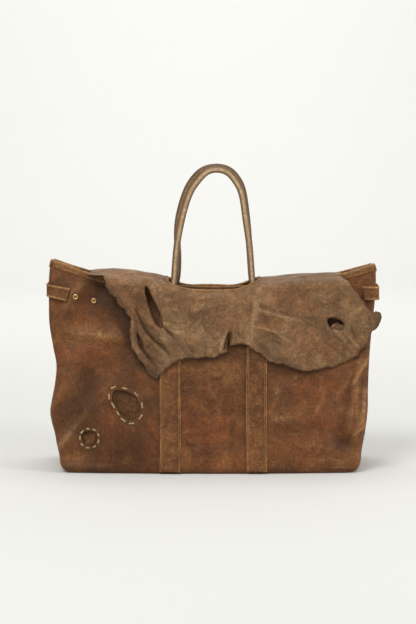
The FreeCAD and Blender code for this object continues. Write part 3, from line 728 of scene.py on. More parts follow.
BODY_MARKS_AND_PAINTED_LIGHT = {
    # Stains, and painted shade along the flap's left edge and strand, under its hem, in the lower left fold
    # and in the right dent.
    "dark": [
        (0.58, -232, 100, -222, 160, 24), (0.46, -145, 40, 65, 26), (0.8, -190, 325, -150, 262, 12),
        (0.8, -152, 250, -128, 190, 9), (0.45, -20, 196, 40, 204, 10), (0.45, 105, 182, 200, 172, 10),
        (0.6, -241.8, 308, 9, 9), (0.6, -209.8, 300.8, 9, 9), (0.3, -130, 150, 50, 30),
        (0.35, -200, 300, 30, 30), (0.9, 232, 52, 22, 12), (0.35, 150, 75, 80, 18),
        (0.9, -43, 52, -33, 50, 3.5), (0.9, 3, 164, 16, 165, 2.2), (0.6, -200, 325, -160, 272, 26),
        (0.45, -258, 276, 12, 16), (0.3, -215, 205, -155, 195, 12),
    ],
    "grey": [
        (0.5, -185, 150, 45, 22), (0.4, -225, 85, 30, 40), (0.5, 215, 125, 35, 45),
    ],
    "warm": [
        (0.8, -200, 215, 55, 22), (0.7, 0, 85, 60, 45), (0.8, 200, 150, 45, 35), (0.6, 210, 85, 55, 25),
        (0.8, -130, 50, 70, 40),
    ],
    # Rubbed spots, and painted highlights along glossy folds at the lower left, the right side and the foot.
    "pale": [
        (1, -268, 47, -228, 100, 5.5), (0.8, 278, 198, 252, 158, 3), (0.7, 273, 140, 268, 85, 4.5),
        (0.5, 260, 150, 258, 100, 4), (0.8, 270, 80, 252, 68, 2.5), (0.6, 118, 147, 6, 8),
        (0.5, 128.5, 96, 13, 4), (0.55, 196, 167, 193, 147, 1.8), (0.5, 205, 10.5, 262, 9.5, 1.6),
        (0.5, -229, 330, -250, 312, 7), (0.4, -250, 312, -262, 288, 6), (0.45, -235, 244, -185, 241, 3),
        (0.4, -285, 110, -262, 150, 6), (0.35, -250, 232, -150, 240, 8), (0.45, 222, 130, 250, 175, 4),
        (0.35, 185, 105, 205, 150, 3), (0.35, -210, 245, 40, 12), (0.35, 245, 80, 262, 190, 5),
        (0.45, 253, 60, 268, 110, 5), (0.3, 130, 115, 45, 18), (0.5, 240, 22, 25, 10),
        (0.3, -235, 30, 30, 12), (0.3, 10, 185, 50, 20),
    ],
    # Worn spots, and painted greyish sheen on the lower left highlight and the right edge's folds.
    "scuff_and_sheen": [
        (0.9, 118, 145, 7, 12), (0.8, -266, 52, -236, 92, 4), (0.4, -262, 12, -200, 9, 3),
        (0.6, 121, 94, 18, 6), (0.8, -203, 240, -192, 246, 3.5), (0.6, -203, 182, 4, 4),
        (0.5, 146, 150, 152, 170, 2), (0.9, 278, 198, 256, 164, 2.2), (0.7, 273, 140, 268, 90, 3),
    ],
}
BODY_CREASE_SHADES = [(0.80, [(200, 7.5), (235, 6), (262, 6.4)], 1.4), (0.90, HEM_SHADE, 3.4)]


def body_marks_and_painted_light(x, z):
    """Where the body leather is stained, rubbed or scuffed, with painted shade under the flap's edges and
    in folds and dents, and painted highlights and sheen along glossy folds.
    """
    marks = {key: drawn(x, z, shapes) for key, shapes in BODY_MARKS_AND_PAINTED_LIGHT.items()}
    marks["dark"] += creased(x, z, BODY_CREASE_SHADES)
    marks["dark"] += 0.22 * smoothstep(-0.06, -0.15, x) * smoothstep(0.20, 0.13, z)
    marks["dark"] += 0.22 * smoothstep(0.4, 1.5, ripples(x, z, 0.045, 33))
    marks["dark"] += 0.35 * smoothstep(0.022, 0.0, z)
    marks["pale"] += 0.20 * smoothstep(0.6, 1.6, ripples(x, z, 0.032, 35))
    marks["scuff_and_sheen"] += 0.16 * smoothstep(0.9, 1.6, ripples(x, z, 0.05, 31))
    return clipped(marks)


def quiet_marks(x, z, seed):
    """Gentle marks for the faces that have no story of their own."""
    marks = {}
    for step, (key, strength, low, high, size) in enumerate((
        ("dark", 0.35, 0.4, 1.4, 0.12), ("grey", 0.5, 0.4, 1.4, 0.16), ("warm", 0.6, 0.2, 1.2, 0.13),
        ("pale", 0.5, 0.5, 1.3, 0.07), ("scuff_and_sheen", 0.2, 0.8, 1.6, 0.04),
    )):
        marks[key] = strength * smoothstep(low, high, ripples(x, z, size, seed + step))
    marks["dark"] += 0.35 * smoothstep(0.022, 0, z)
    return marks


LARGE_OPENING = (-0.1497, 0.119)
LARGE_RING = [
    (-24.8, 31), (-3.9, 29.5), (16.6, 18.9), (26.8, 0.4), (24.4, -20), (8, -31.2), (-7, -25),
    (-16, -13.7), (-24.2, -0.5), (-31.8, 14.8),
]
SMALL_OPENING = (-0.2161, 0.0615)
SMALL_RING_RADIUS = 0.0168
SMALL_HOLE_RADIUS = 0.0138
OPENING_REACH = 0.05


def ring_curve(points, samples=120):
    """A closed smooth curve through an array of points."""
    return through(np.vstack([points[-1:], points, points[:2]]), samples // len(points))


def inside(polygon, x, z):
    """Which points are inside a closed polygon."""
    polygon = np.asarray(polygon)
    result = np.zeros(np.shape(x), bool)
    previous = polygon[-1]
    for current in polygon:
        crosses = (current[1] > z) != (previous[1] > z)
        rise = previous[1] - current[1]
        rise = rise if abs(rise) > 1e-12 else 1e-12
        meets = x < (previous[0] - current[0]) * (z - current[1]) / rise + current[0]
        result ^= crosses & meets
        previous = current
    return result


large_ring = ring_curve(metres(LARGE_RING))
large_ragged = ripples(*large_ring.T, 0.016, 11)[:, None]
large_hole = large_ring * (0.855 + 0.030 * large_ragged) + (0.0004, -0.0003)
small_angles = full_turn(60)
small_hole = np.stack([
    SMALL_HOLE_RADIUS * np.cos(small_angles) * (1 + 0.06 * np.sin(3 * small_angles)),
    SMALL_HOLE_RADIUS * np.sin(small_angles) * (1 + 0.05 * np.cos(2 * small_angles)),
], axis=-1)


def pucker(x, z):
    """The dimple that the thread pulls round each opening."""
    out = np.zeros(np.shape(x))
    for centre, reach in ((LARGE_OPENING, 0.030), (SMALL_OPENING, 0.017)):
        distance = np.hypot(x - centre[0], z - centre[1])
        out -= 0.0012 * np.exp(-(((distance - reach) / 0.005) ** 2))
        out += 0.0014 * np.exp(-(((distance - reach * 0.72) / 0.006) ** 2))
    return out


def cut_openings(piece, openings):
    """Cuts clean holes in the front wall, by moving the nearest vertices on to each hole's outline."""
    clean = bmesh.new()
    clean.from_mesh(piece.data)
    for centre, outline in openings:
        shape = outline + np.array(centre)

        def near(spot):
            return abs(spot.x - centre[0]) < OPENING_REACH and abs(spot.z - centre[1]) < OPENING_REACH

        doomed = []
        for face in clean.faces:
            middle = face.calc_center_median()
            if near(middle) and inside(shape, np.array(middle.x), np.array(middle.z)):
                doomed.append(face)
        bmesh.ops.delete(clean, geom=doomed, context="FACES")
        for vertex in clean.verts:
            if vertex.is_boundary and near(vertex.co):
                gaps = np.hypot(shape[:, 0] - vertex.co.x, shape[:, 1] - vertex.co.z)
                vertex.co.x, vertex.co.z = shape[int(np.argmin(gaps))]
    clean.to_mesh(piece.data)
    clean.free()


WALL_MATERIALS = [body_leather, raw_edge, suede]


def build_wall(name, node, facing):
    points = wall_points(facing)
    x, z = points[..., 0], points[..., 2]
    if facing < 0:
        points[..., 1] -= pucker(x, z)
        marks = body_marks_and_painted_light(x, z)
    else:
        marks = quiet_marks(x, z, 60)
    piece = grid_piece(name, points, WALL_MATERIALS, marks, flip=facing > 0)
    if facing < 0:
        cut_openings(piece, [(LARGE_OPENING, large_hole), (SMALL_OPENING, small_hole)])
    thicken(piece, LEATHER, rim=1, inside=2)
    settle(piece, "bag", "body_leather", node)


def build_gusset(word, side):
    points = gusset_points(side)
    y, z = points[..., 1], points[..., 2]
    marks = quiet_marks(y, z, 80 + side)
    # Painted shade down the middle of the gusset's inward fold.
    marks["dark"] += 0.5 * fold(y, z, (0, 0.1), (0, 0.36), 0.008)
    piece = grid_piece(f"{word}_folded_gusset", points, WALL_MATERIALS, marks, flip=side < 0)
    thicken(piece, LEATHER, rim=1, inside=2)
    settle(piece, "bag", "body_leather", f"{word}_gusset")


build_wall("front_wall", "front_panel", -1)
build_wall("back_wall", "back_panel", 1)
build_gusset("left", -1)
build_gusset("right", 1)

# The hide flap: one piece, drawn as x across the bag and v along the leather. v is 0 just under the front
# rim, where the leather starts to hang. It is negative down the front and positive over the top and back.

# x, and the heights there of the flap's crest and of its front rim
TOP_LINES = [
    (-240, 348, 347), (-220, 351.5, 349.5), (-195, 354.5, 349), (-164, 354, 346.5), (-120, 349, 342),
    (-83, 341, 333.5), (-60, 332, 326), (0, 328.5, 320), (50, 330, 323.5), (81, 338, 334.5),
    (120, 341.5, 336.5), (159, 345.5, 339.5), (207, 347, 341), (250, 347.5, 341.5),
]
CREST = curve_through([(x, crest) for x, crest, _ in TOP_LINES])
FRONT_RIM = curve_through([(x, rim) for x, _, rim in TOP_LINES])
RIM_DROP = 0.020
BACK_OF_TOP = 0.046
BACK_FOOT = 0.2350
FLAP_COLUMNS = 160
FLAP_STEPS = 700
FLAP_CLEAR = 0.0048


def over_straps(x):
    """The extra height of the flap's leather where a strap lies under it."""
    return sum(
        LEATHER * smoothstep(-0.030, -0.020, x - middle) * smoothstep(0.030, 0.020, x - middle)
        for middle in STRAP_X
    )


def front_hang(x, z):
    """How far in front of the middle the hanging leather is at a height."""
    free = 0.0535 + 0.02 * (MOUTH_DIP - z)
    resting = wall_depth(x, z, -1) + FLAP_CLEAR + over_straps(x)
    return smooth_max(free, resting, 0.006)


def back_hang(x, z):
    """How far behind the middle the leather is at a height, drawn in a little below the mouth."""
    resting = wall_depth(x, z, 1) + FLAP_CLEAR + over_straps(x)
    return smooth_max(0.0480, resting, 0.004) - 0.0050 * np.exp(-(((z - 0.272) / 0.028) ** 2))


def flap_section(x):
    """The leather's path at one x as points (y, z), from far below the front rim to the back foot."""
    crest, rim = float(CREST(x)), float(FRONT_RIM(x))
    rise = crest - rim
    low = np.linspace(0.13, rim - RIM_DROP, 160)
    front = np.stack([-front_hang(x, low), low], axis=-1)
    over = np.array([
        (-0.0555, rim - 0.0125), (-0.0520, rim - 0.0050), (-0.0440, rim - 0.0005),
        (-0.0300, rim + 0.35 * rise), (-0.0150, rim + 0.85 * rise), (0.0, crest),
        (0.0150, crest - 0.0003), (0.0300, crest - 0.0022), (0.0405, crest - 0.0070),
        (0.0465, crest - 0.0150),
    ])
    fall = np.linspace(crest - 0.026, BACK_FOOT, 90)
    back = np.stack([back_hang(x, fall), fall], axis=-1)
    smooth = through(np.concatenate([front[-3:], over, back[:3]]), 10)
    path = np.concatenate([front[:-2], smooth, back[1:]])
    travelled = lengths_along(path)
    return path, travelled - travelled[len(low) - 1]


flap_x = np.linspace(-0.26, 0.32, FLAP_COLUMNS)
flap_v = np.linspace(-0.175, 0.235, FLAP_STEPS)
flap_table = np.zeros((FLAP_COLUMNS, FLAP_STEPS, 2))
flap_end = np.zeros(FLAP_COLUMNS)
for column, place_x in enumerate(flap_x):
    path, travelled = flap_section(max(float(place_x), -0.24))
    flap_table[column] = sampled(path, travelled, flap_v)
    flap_end[column] = travelled[-1]


def flap_place(x, v):
    """The (y, z) of points of the flap's leather."""
    column = np.clip((x - flap_x[0]) / (flap_x[1] - flap_x[0]), 0, FLAP_COLUMNS - 1.001)
    row = np.clip((v - flap_v[0]) / (flap_v[1] - flap_v[0]), 0, FLAP_STEPS - 1.001)
    c, r = column.astype(int), row.astype(int)
    fc, fr = (column - c)[:, None], (row - r)[:, None]
    top = flap_table[c, r] * (1 - fc) + flap_table[c + 1, r] * fc
    bottom = flap_table[c, r + 1] * (1 - fc) + flap_table[c + 1, r + 1] * fc
    return top * (1 - fr) + bottom * fr


def flap_column(x):
    """The depths and heights of the flap's leather along the column nearest to x."""
    column = round((x - flap_x[0]) / (flap_x[1] - flap_x[0]))
    return flap_table[int(np.clip(column, 0, FLAP_COLUMNS - 1))].T


def v_at_height(x, z):
    """The v on the front of the flap where its leather is at a height."""
    _, heights = flap_column(x)
    peak = int(np.argmax(heights))
    return float(np.interp(z, heights[:peak + 1], flap_v[:peak + 1]))


def v_at_depth(x, y):
    """The v on the top of the flap where its leather is a given way back from the middle."""
    depths, _ = flap_column(x)
    start = int(np.searchsorted(flap_v, 0.0))
    stop = start + int(np.argmax(depths[start:] > BACK_OF_TOP))
    return float(np.interp(y, depths[start:stop], flap_v[start:stop]))


def on_front(points):
    """Listed points of the flap's front as x and v."""
    return [(x, v_at_height(x, z)) for x, z in metres(points)]


HIDE_LEFT_TOP = -0.2170
HIDE_RIGHT_TOP = 0.2340
SLIT = [
    (-117.2, 329), (-115, 330), (-111.9, 323.7), (-106.3, 312.4), (-98.5, 298.2), (-92.1, 284.6),
    (-87.8, 270.4), (-87.2, 260.4), (-90.2, 256), (-97.5, 262.5), (-104, 273.9), (-109.8, 290),
    (-114.5, 306), (-117, 318.4),
]
CURLED_HOLE = [
    (-131.8, 248), (-129, 244), (-125, 236.5), (-122.2, 229), (-120, 219), (-116.8, 210.5),
    (-121.5, 212.8), (-127.2, 221.5), (-130.8, 233), (-132.5, 242),
]
SIDE_HOLE = [
    (205.1, 271.1), (214, 274.2), (225, 270.5), (233.9, 263.5), (231.8, 255.4), (224, 253), (220.5, 256),
    (217.6, 258.5), (213.4, 254), (208.1, 260.4),
]
TONGUE = [
    (212, 257.5), (214.5, 261.8), (218.5, 263.6), (223.5, 263.4), (229.5, 261.2), (237, 259), (240, 253),
    (230, 247), (218, 247.5), (208, 253),
]
SLOT_HALF_DEPTH = 0.039
SLOT_HALF_LENGTH = 0.080
SLOT_ROUNDING = 0.42


def refine(points, spacing=0.0030, ragged=0.0, seed=1):
    """A closed curve through points, evenly divided, with a little natural unevenness."""
    dense = ring_curve(points, samples=len(points) * 12)
    closed = np.vstack([dense, dense[:1]])
    travelled = lengths_along(closed)
    count = max(8, int(travelled[-1] / spacing))
    line = sampled(closed, travelled, np.linspace(0, travelled[-1], count, endpoint=False))
    if ragged:
        wobble = ripples(*line.T, 0.011, seed) + 0.6 * ripples(*line.T, 0.005, seed + 1)
        line = line + beside(line, closed=True) * (ragged * wobble)[:, None]
    return line


def flap_outline():
    """The whole hide's edge in x and v, anticlockwise seen from the front."""

    def foot(x):
        return float(np.interp(x, flap_x, flap_end)) - 0.001

    front = on_front(HIDE_EDGE)
    right_line = np.linspace(front[-1][1] + 0.012, foot(HIDE_RIGHT_TOP), 16)
    foot_line = np.linspace(HIDE_RIGHT_TOP, HIDE_LEFT_TOP, 34)[1:-1]
    left_line = np.linspace(foot(HIDE_LEFT_TOP), front[0][1] + 0.012, 16)
    return [
        *front, *((HIDE_RIGHT_TOP, v) for v in right_line), *((x, foot(x)) for x in foot_line),
        *((HIDE_LEFT_TOP, v) for v in left_line),
    ]


def slot_outline():
    """The slot for the handles, with rounded ends, in x and v."""
    points = []
    for angle in full_turn(56):
        along, across = math.cos(angle), math.sin(angle)
        x = HANDLE_CENTRE + SLOT_HALF_LENGTH * math.copysign(abs(along) ** SLOT_ROUNDING, along)
        y = SLOT_HALF_DEPTH * math.copysign(abs(across) ** SLOT_ROUNDING, across)
        points.append((x, v_at_depth(x, y)))
    return points


LONG_CREASE = [
    (-134, 287), (-124.7, 267.2), (-114.1, 248.4), (-100.9, 232.4), (-87.7, 223.1), (-75.7, 209.6),
]
STRAP_CREASE = [(80.6, 295.5), (110.7, 285), (142.5, 275.9), (170.8, 271.7), (204, 272)]
SLIT_CREASE = [(-86.8, 259), (-76.8, 249), (-66.4, 237.7)]
LEFT_PLEAT = [(30.2, 246), (25.2, 232), (22.2, 217.5)]
RIGHT_PLEAT = [(32.6, 246), (30.6, 232), (29.2, 217)]
HOLE_CREASE_LOW = [(-117.2, 210.5), (-112.4, 204.3), (-104.9, 197.5)]
HOLE_CREASE_HIGH = [(-118.2, 217.7), (-112, 221.2), (-104.8, 227)]
FINE_WRINKLES = [
    ((-105.1, 252.5), (-85.6, 247.2)), ((-103.4, 244.6), (-83.9, 239.3)), ((-82, 266.8), (-46.7, 263.2)),
    ((-82.1, 257.9), (-44.9, 249)), ((-79, 250), (-52, 238)), ((-101, 237), (-86, 233)),
    ((-144, 276), (-129, 262)), ((-139, 282), (-133, 266)), ((-129, 340), (-148, 308)),
    ((-133, 342), (-165, 320)), ((-115, 205), (-95, 183)), ((-101, 183), (-92, 179)),
    ((100, 240), (135, 218)), ((110, 248), (150, 230)), ((200, 230), (225, 212)),
    ((215, 240), (240, 225)), ((85, 300), (96, 270)), ((170, 262), (202, 252)), ((-50, 235), (-30, 210)),
    ((-15, 260), (5, 235)), ((45, 270), (48, 235)), ((245, 260), (260, 230)),
]
FLAP_FOLDS = [
    (3, 86, 256.1, 111, 249, 4), (3, 111, 249, 137.4, 231.1, 4), (2.2, 216.9, 256, 247, 220, 6.5),
    (-1.6, 226, 254, 252, 223, 5), (2.8, 234.7, 249, 256.2, 224, 4), (2.4, 78.7, 320.2, 114.2, 284.6, 6),
    (2, 155, 276, 200, 270, 7), (3, 270, 288, 248, 215, 8), (-2, 256, 285, 238, 220, 8),
    (2.2, 220, 330, 260, 300, 6), (3.4, -117, 272, -85, 233, 6), (2.2, -123, 252, -98, 220, 5),
    (2.4, -80, 260, -60, 240, 5), (5.5, -140, 260, -138.5, 225, 4), (4.2, -137, 218, -113, 185, 4.5),
    (2, -113, 213, -86, 195, 5), (4, -120, 318, -102, 265, 5), (-3.2, -150, 320, -135, 290, 7),
    (3, -175, 335, -148, 295, 5.5), (6.6, 26.2, 244, 16, 218, 3.8), (7, 39.2, 252, 37.2, 226, 3.8),
    (4.4, 29, 239, 25.8, 219, 1.6), (1.6, 5, 245, 18, 230, 4), (2, -30, 270, -45, 215, 6),
    (1.8, -10, 265, -6, 210, 7), (3, 296, 259, 301, 275, 3),
]
HANGING_FOLDS = [
    (5, 80, 325, 65.5, 225, 8.5), (2.2, 101, 295, 99, 205, 11), (2, -56, 290, -55, 205, 13),
    (-4.5, 219.5, 264, 12, 8),
]
FLAP_CREASES = [
    (3.6, [(80.6, 290), (110.7, 279), (142.5, 270), (175, 266)], 6),
    (-1.4, [(-132, 301), (-125, 288), (-123, 280)], 1.4),
    (-6, [(-118, 329), (-117.5, 337), (-115, 345)], 3.4),
    (-2.6, STRAP_CREASE, 3), (-6.8, LONG_CREASE, 2.4), (-4.4, SLIT_CREASE, 2.2), (-4.4, HOLE_CREASE_LOW, 2.4),
    (-3.4, HOLE_CREASE_HIGH, 2.2), (-6.4, LEFT_PLEAT, 1.8), (-7.4, RIGHT_PLEAT, 1.8),
    *((-2.2, points, 1.8) for points in FINE_WRINKLES),
]
FLAP_MARKS_AND_PAINTED_LIGHT = {
    # Stains, and painted shade beside folds, under the hem and where the flap tucks under the right side
    # strap.
    "dark": [
        (0.5, -134.5, 262, -133.5, 244, 4.5), (0.5, -138, 208, -96, 170, 4.5),
        (0.5, 70, 300, 68, 240, 3), (0.5, 235, 340, 250, 315, 10), (0.6, -98.5, 175.5, 15, 12),
        (0.6, 293, 269, 5, 8), (0.55, 90, 208, 130, 198, 6), (0.75, 140, 187, 156, 184, 4.5),
        (0.45, 85, 225, 105, 212, 6), (0.55, -195, 335, -150, 290, 5), (0.35, 230, 345, 248, 335, 9),
        (0.5, 246, 340, 270, 300, 4), (0.3, -175, 325, 30, 12),
    ],
    "grey": [
        (0.5, -75, 300, 35, 25), (0.5, -85, 215, 40, 20),
    ],
    "warm": [
        (0.6, 115, 315, 60, 20), (0.4, 115, 260, 45, 18), (0.5, -130, 310, 30, 20),
        (0.5, 175, 330, 50, 12), (0.5, 190, 215, 60, 15),
    ],
    # Painted highlights along the ridges of folds and pleats, and some rubbed spots.
    "pale": [
        (0.75, 82.2, 325.5, 64.8, 230, 6), (0.45, 85, 287, 156.7, 268, 4),
        (0.55, 86, 256.1, 111, 249, 2.5), (0.55, 111, 249, 137.4, 231.1, 2.5),
        (0.28, 216.9, 256, 247, 220, 4), (0.4, 234.7, 249, 256.2, 224, 2.5),
        (0.4, -139.5, 268.6, -140, 225, 3), (0.35, -140, 270, -125, 250, 5),
        (0.9, 22.5, 240, 17.5, 217, 2.6), (0.5, 24.5, 246, 21.5, 230, 2),
        (0.7, -142, 238, -139, 225, 1.8), (0.3, -50, 201.2, 15, 206, 1.6), (0.3, -50, 250, 10, 235, 18),
    ],
    # Worn spots, and painted sheen along the ridges at the right edge and of the left fold.
    "scuff_and_sheen": [
        (0.9, 178, 310, 208, 313, 3.5), (1, 18, 225, 19, 215, 2.6), (0.6, 296.5, 260, 300.5, 274, 1.4),
        (0.8, -141.8, 237, -139.2, 227, 1.4), (0.5, 0, 302, 4, 4),
    ],
}
FLAP_CREASE_SHADES = [
    (2, LONG_CREASE, 1.5), (1.8, SLIT_CREASE, 1.3), (1.9, HOLE_CREASE_LOW, 1.8), (1, HOLE_CREASE_HIGH, 1.5),
    (0.8, [(-118, 329), (-117.5, 337), (-116, 343)], 1.4), (1.5, LEFT_PLEAT, 1.2), (1.7, RIGHT_PLEAT, 1.6),
    (0.55, STRAP_CREASE, 2.2), *((0.55, points, 1.3) for points in FINE_WRINKLES),
]


def flap_relief(x, v, z):
    """How far the flap's leather stands out from its smooth path."""
    hanging = smoothstep(0.01, -0.03, v)
    relief = 0.0016 * hanging * ripples(x, v, 0.085, 41) + 0.0006 * ripples(x, v, 0.035, 43)
    relief += 0.001 * (drawn(x, z, FLAP_FOLDS) + creased(x, z, FLAP_CREASES))
    relief += 0.001 * hanging * drawn(x, z, HANGING_FOLDS)
    lip = (np.hypot(x - 0.2195, z - 0.2630) - 0.0165) / 0.005
    return relief + 0.0020 * hanging * np.exp(-(lip**2))


def flap_marks_and_painted_light(x, v, z):
    """Where the flap's leather is stained, rubbed or scuffed, with painted shade in its creases and under its
    edges and painted highlights and sheen on its ridges. The drawn marks are on its front only.
    """
    front = smoothstep(0.02, -0.01, v)
    marks = {key: front * drawn(x, z, shapes) for key, shapes in FLAP_MARKS_AND_PAINTED_LIGHT.items()}
    marks["dark"] += front * (creased(x, z, FLAP_CREASE_SHADES) + 0.22 * smoothstep(-0.095, -0.125, x))
    marks["dark"] += 0.35 * smoothstep(0.5, 1.5, ripples(x, v, 0.040, 55))
    marks["grey"] += 0.20 * smoothstep(0.0, 1.2, ripples(x, v, 0.14, 51))
    marks["warm"] += 0.3 * smoothstep(0.1, 1.3, ripples(x, v, 0.09, 57))
    marks["warm"] += 0.8 * front * smoothstep(-0.090, -0.130, x)
    marks["pale"] += 0.40 * smoothstep(0.6, 1.6, ripples(x, v, 0.035, 59))
    marks["scuff_and_sheen"] += 0.2 * smoothstep(0.9, 1.6, ripples(x, v, 0.05, 53))
    return clipped(marks)


# The filling grid's row height, unevenness and distance from the outline, as shares of its spacing
GRID_ROW = 0.866
GRID_JITTER = 0.14
GRID_CLEARANCE = 0.55
GRID_BLOCK = 2000


def doubled_areas(points, triangles):
    """Twice the signed areas of flat triangles."""
    a, b, c = (points[triangles[:, k]] for k in range(3))
    return (b[:, 0] - a[:, 0]) * (c[:, 1] - a[:, 1]) - (b[:, 1] - a[:, 1]) * (c[:, 0] - a[:, 0])


def filled(outer, holes, spacing):
    """Points and triangles that fill an outline less its holes."""

    def within(spots):
        keep = inside(outer, *spots.T)
        for hole in holes:
            keep &= ~inside(hole, *spots.T)
        return keep

    edges = []
    first = 0
    for loop in (outer, *holes):
        edges += [(first + k, first + (k + 1) % len(loop)) for k in range(len(loop))]
        first += len(loop)
    rim = np.vstack([outer, *holes])
    low, high = rim.min(axis=0), rim.max(axis=0)
    xs = np.arange(low[0], high[0], spacing)
    vs = np.arange(low[1], high[1], spacing * GRID_ROW)
    grid_x, grid_v = np.meshgrid(xs, vs)
    grid_x = grid_x + (np.arange(len(vs))[:, None] % 2) * spacing / 2
    spots = np.stack([grid_x.ravel(), grid_v.ravel()], axis=-1)
    spots += noise_source.uniform(-GRID_JITTER, GRID_JITTER, spots.shape) * spacing
    spots = spots[within(spots)]
    clear = np.ones(len(spots), bool)
    for start in range(0, len(spots), GRID_BLOCK):
        block = spots[start:start + GRID_BLOCK]
        gaps = ((block[:, None, :] - rim[None, :, :]) ** 2).sum(axis=-1).min(axis=1)
        clear[start:start + GRID_BLOCK] = gaps > (spacing * GRID_CLEARANCE) ** 2
    everything = [Vector(spot) for spot in np.vstack([rim, spots[clear]])]
    vertices, _, faces, *_ = delaunay_2d_cdt(everything, edges, [], 0, 1e-7)
    flat = np.array([tuple(vertex) for vertex in vertices])
    triangles = np.array([face for face in faces if len(face) == 3])
    triangles = triangles[within(flat[triangles].mean(axis=1))]
    backward = doubled_areas(flat, triangles) < 0
    triangles[backward] = triangles[backward][:, ::-1]
    used = np.unique(triangles)
    renumber = np.zeros(len(flat), int)
    renumber[used] = np.arange(len(used))
    return flat[used], renumber[triangles]


# The height given to leather that doesn't hang in front, far from every drawn shape
NOT_IN_FRONT = 9.0


def flap_point(x, v, stand_off=0.0):
    """Points on the flap's outer face in space, with its folds, and their heights before the folds."""
    yz = flap_place(x, v)
    along = normalised(flap_place(x, v + 0.0015) - flap_place(x, v - 0.0015))
    outward = np.stack([-along[:, 1], along[:, 0]], axis=-1)
    height = np.where(v < 0.03, yz[:, 1], NOT_IN_FRONT)
    relief = flap_relief(x, v, height) + stand_off
    yz = yz + outward * relief[:, None]
    return np.stack([x, yz[:, 0], yz[:, 1]], axis=-1), height


FLAP_SPACING = 0.0019
HIDE_MATERIALS = [flap_leather, raw_edge, suede]
outer_edge = refine(flap_outline(), 0.0021, 0.00080, 71)
slit_edge = refine(on_front(SLIT), 0.0028, 0.0004, 73)
curl_edge = refine(on_front(CURLED_HOLE), 0.0025, 0.0003, 75)
side_edge = refine(on_front(SIDE_HOLE), 0.0025, 0.0003, 77)
slot_edge = refine(slot_outline(), 0.0030)
flat_points, flat_faces = filled(outer_edge, [slit_edge, curl_edge, side_edge, slot_edge], FLAP_SPACING)
space_points, flap_height = flap_point(*flat_points.T)
cut_edges = np.vstack([outer_edge, slit_edge, curl_edge, side_edge])
edge_gap = np.array([np.hypot(*(cut_edges - spot).T).min() for spot in flat_points])
flap_shades = flap_marks_and_painted_light(*flat_points.T, flap_height)
# Painted shade: a dark band along the cut edges, standing in for the shadow under the flap's edge.
flap_shades["dark"] = np.maximum(flap_shades["dark"], smoothstep(0.0034, 0.0012, edge_gap))
flap = make_piece("hide_flap", space_points, flat_faces, HIDE_MATERIALS, flap_shades)
thicken(flap, 0.0022, rim=1, inside=2)

# The bend's two points lie across the hanging leather; the back foot is far behind their start
FLAP_BEND = (Vector((0, -0.0480, 0.3206)), Vector((0, -0.0588, 0.3154)))
settle(flap, "flap", "flap_leather", "flap_top", "flap_front", "flap_anchor", bend=FLAP_BEND)

# The torn tongue that hangs behind the side hole
tongue_edge = refine(on_front(TONGUE), FLAP_SPACING, 0.0004, 79)
tongue_points, tongue_faces = filled(tongue_edge, [], FLAP_SPACING)
tongue_space, tongue_height = flap_point(*tongue_points.T, -0.0030)
# Painted shade on its upper part, under the hole's rim, and a painted highlight along its upper edge; the
# warm spot is colour.
tongue = make_piece("torn_tongue", tongue_space, tongue_faces, HIDE_MATERIALS, {
    "warm": drawn(tongue_points[:, 0], tongue_height, [(0.6, 220, 260, 12, 12)]),
    "dark": 0.60 * smoothstep(0.2590, 0.2640, tongue_height),
    "pale": drawn(tongue_points[:, 0], tongue_height, [(0.8, 211, 263.6, 223, 265.2, 2.2)]),
})
thicken(tongue, 0.0016, rim=1, inside=2)
settle(tongue, "flap", "flap_leather")

# The slot's folded edging, as distances out from the slot's edge and up from the leather, in millimetres
SLOT_EDGING = [
    (6, 0.2), (6, 1), (5, 1.5), (2.5, 1.4), (0.2, 1.3), (-1, 0.2), (-1.2, -1.2), (-1, -2.6), (0.4, -3.7),
    (5.5, -3.6), (5.5, -2.3),
]


def beside_slot(out, lift):
    """A line round the slot, out from its edge and up from the leather."""
    outward = beside(slot_edge, closed=True)
    if (outward * (slot_edge - (HANDLE_CENTRE, slot_edge[:, 1].mean()))).sum() < 0:
        outward = -outward
    return flap_point(*(slot_edge + outward * out).T, lift)[0]


slot_rings = np.stack([beside_slot(out, lift) for out, lift in metres(SLOT_EDGING)], axis=1)
slot_piece = tube("slot_edging", slot_rings, [edge_leather], closed=True)
settle(slot_piece, "flap", "binding_leather", "flap_slot_binding", bend=FLAP_BEND)
slot_line = beside_slot(0.0042, 0.0016)
slot_line = np.vstack([slot_line, slot_line[:1]])
stitch_row("slot_stitches", [(slot_line, (0, 0, 1))], "bag", 0.0030, 0.0016, 0.0004)

# Straps with turned, stitched edges


STRAP_RISE = 0.0029
STRAP_SUNK = -0.0006
# Half of a strap's section: shares of its half width and of its rise, from its outer edge to its inner seam
TURNED_EDGE = [
    (1.0, 0.75), (0.985, 1.02), (0.95, 1.18), (0.905, 1.12), (0.885, 0.80), (0.840, 0.80), (0.820, 1.06),
    (0.785, 1.06), (0.765, 0.84),
]
STITCHED_SHARE = 0.8025
# The columns of the section that have the paler edge leather: both sides' outer rolls and stitched ridges
EDGE_COLUMNS = (0, 1, 2, 3, 6, 7, 14, 15, 18, 19, 20, 21)


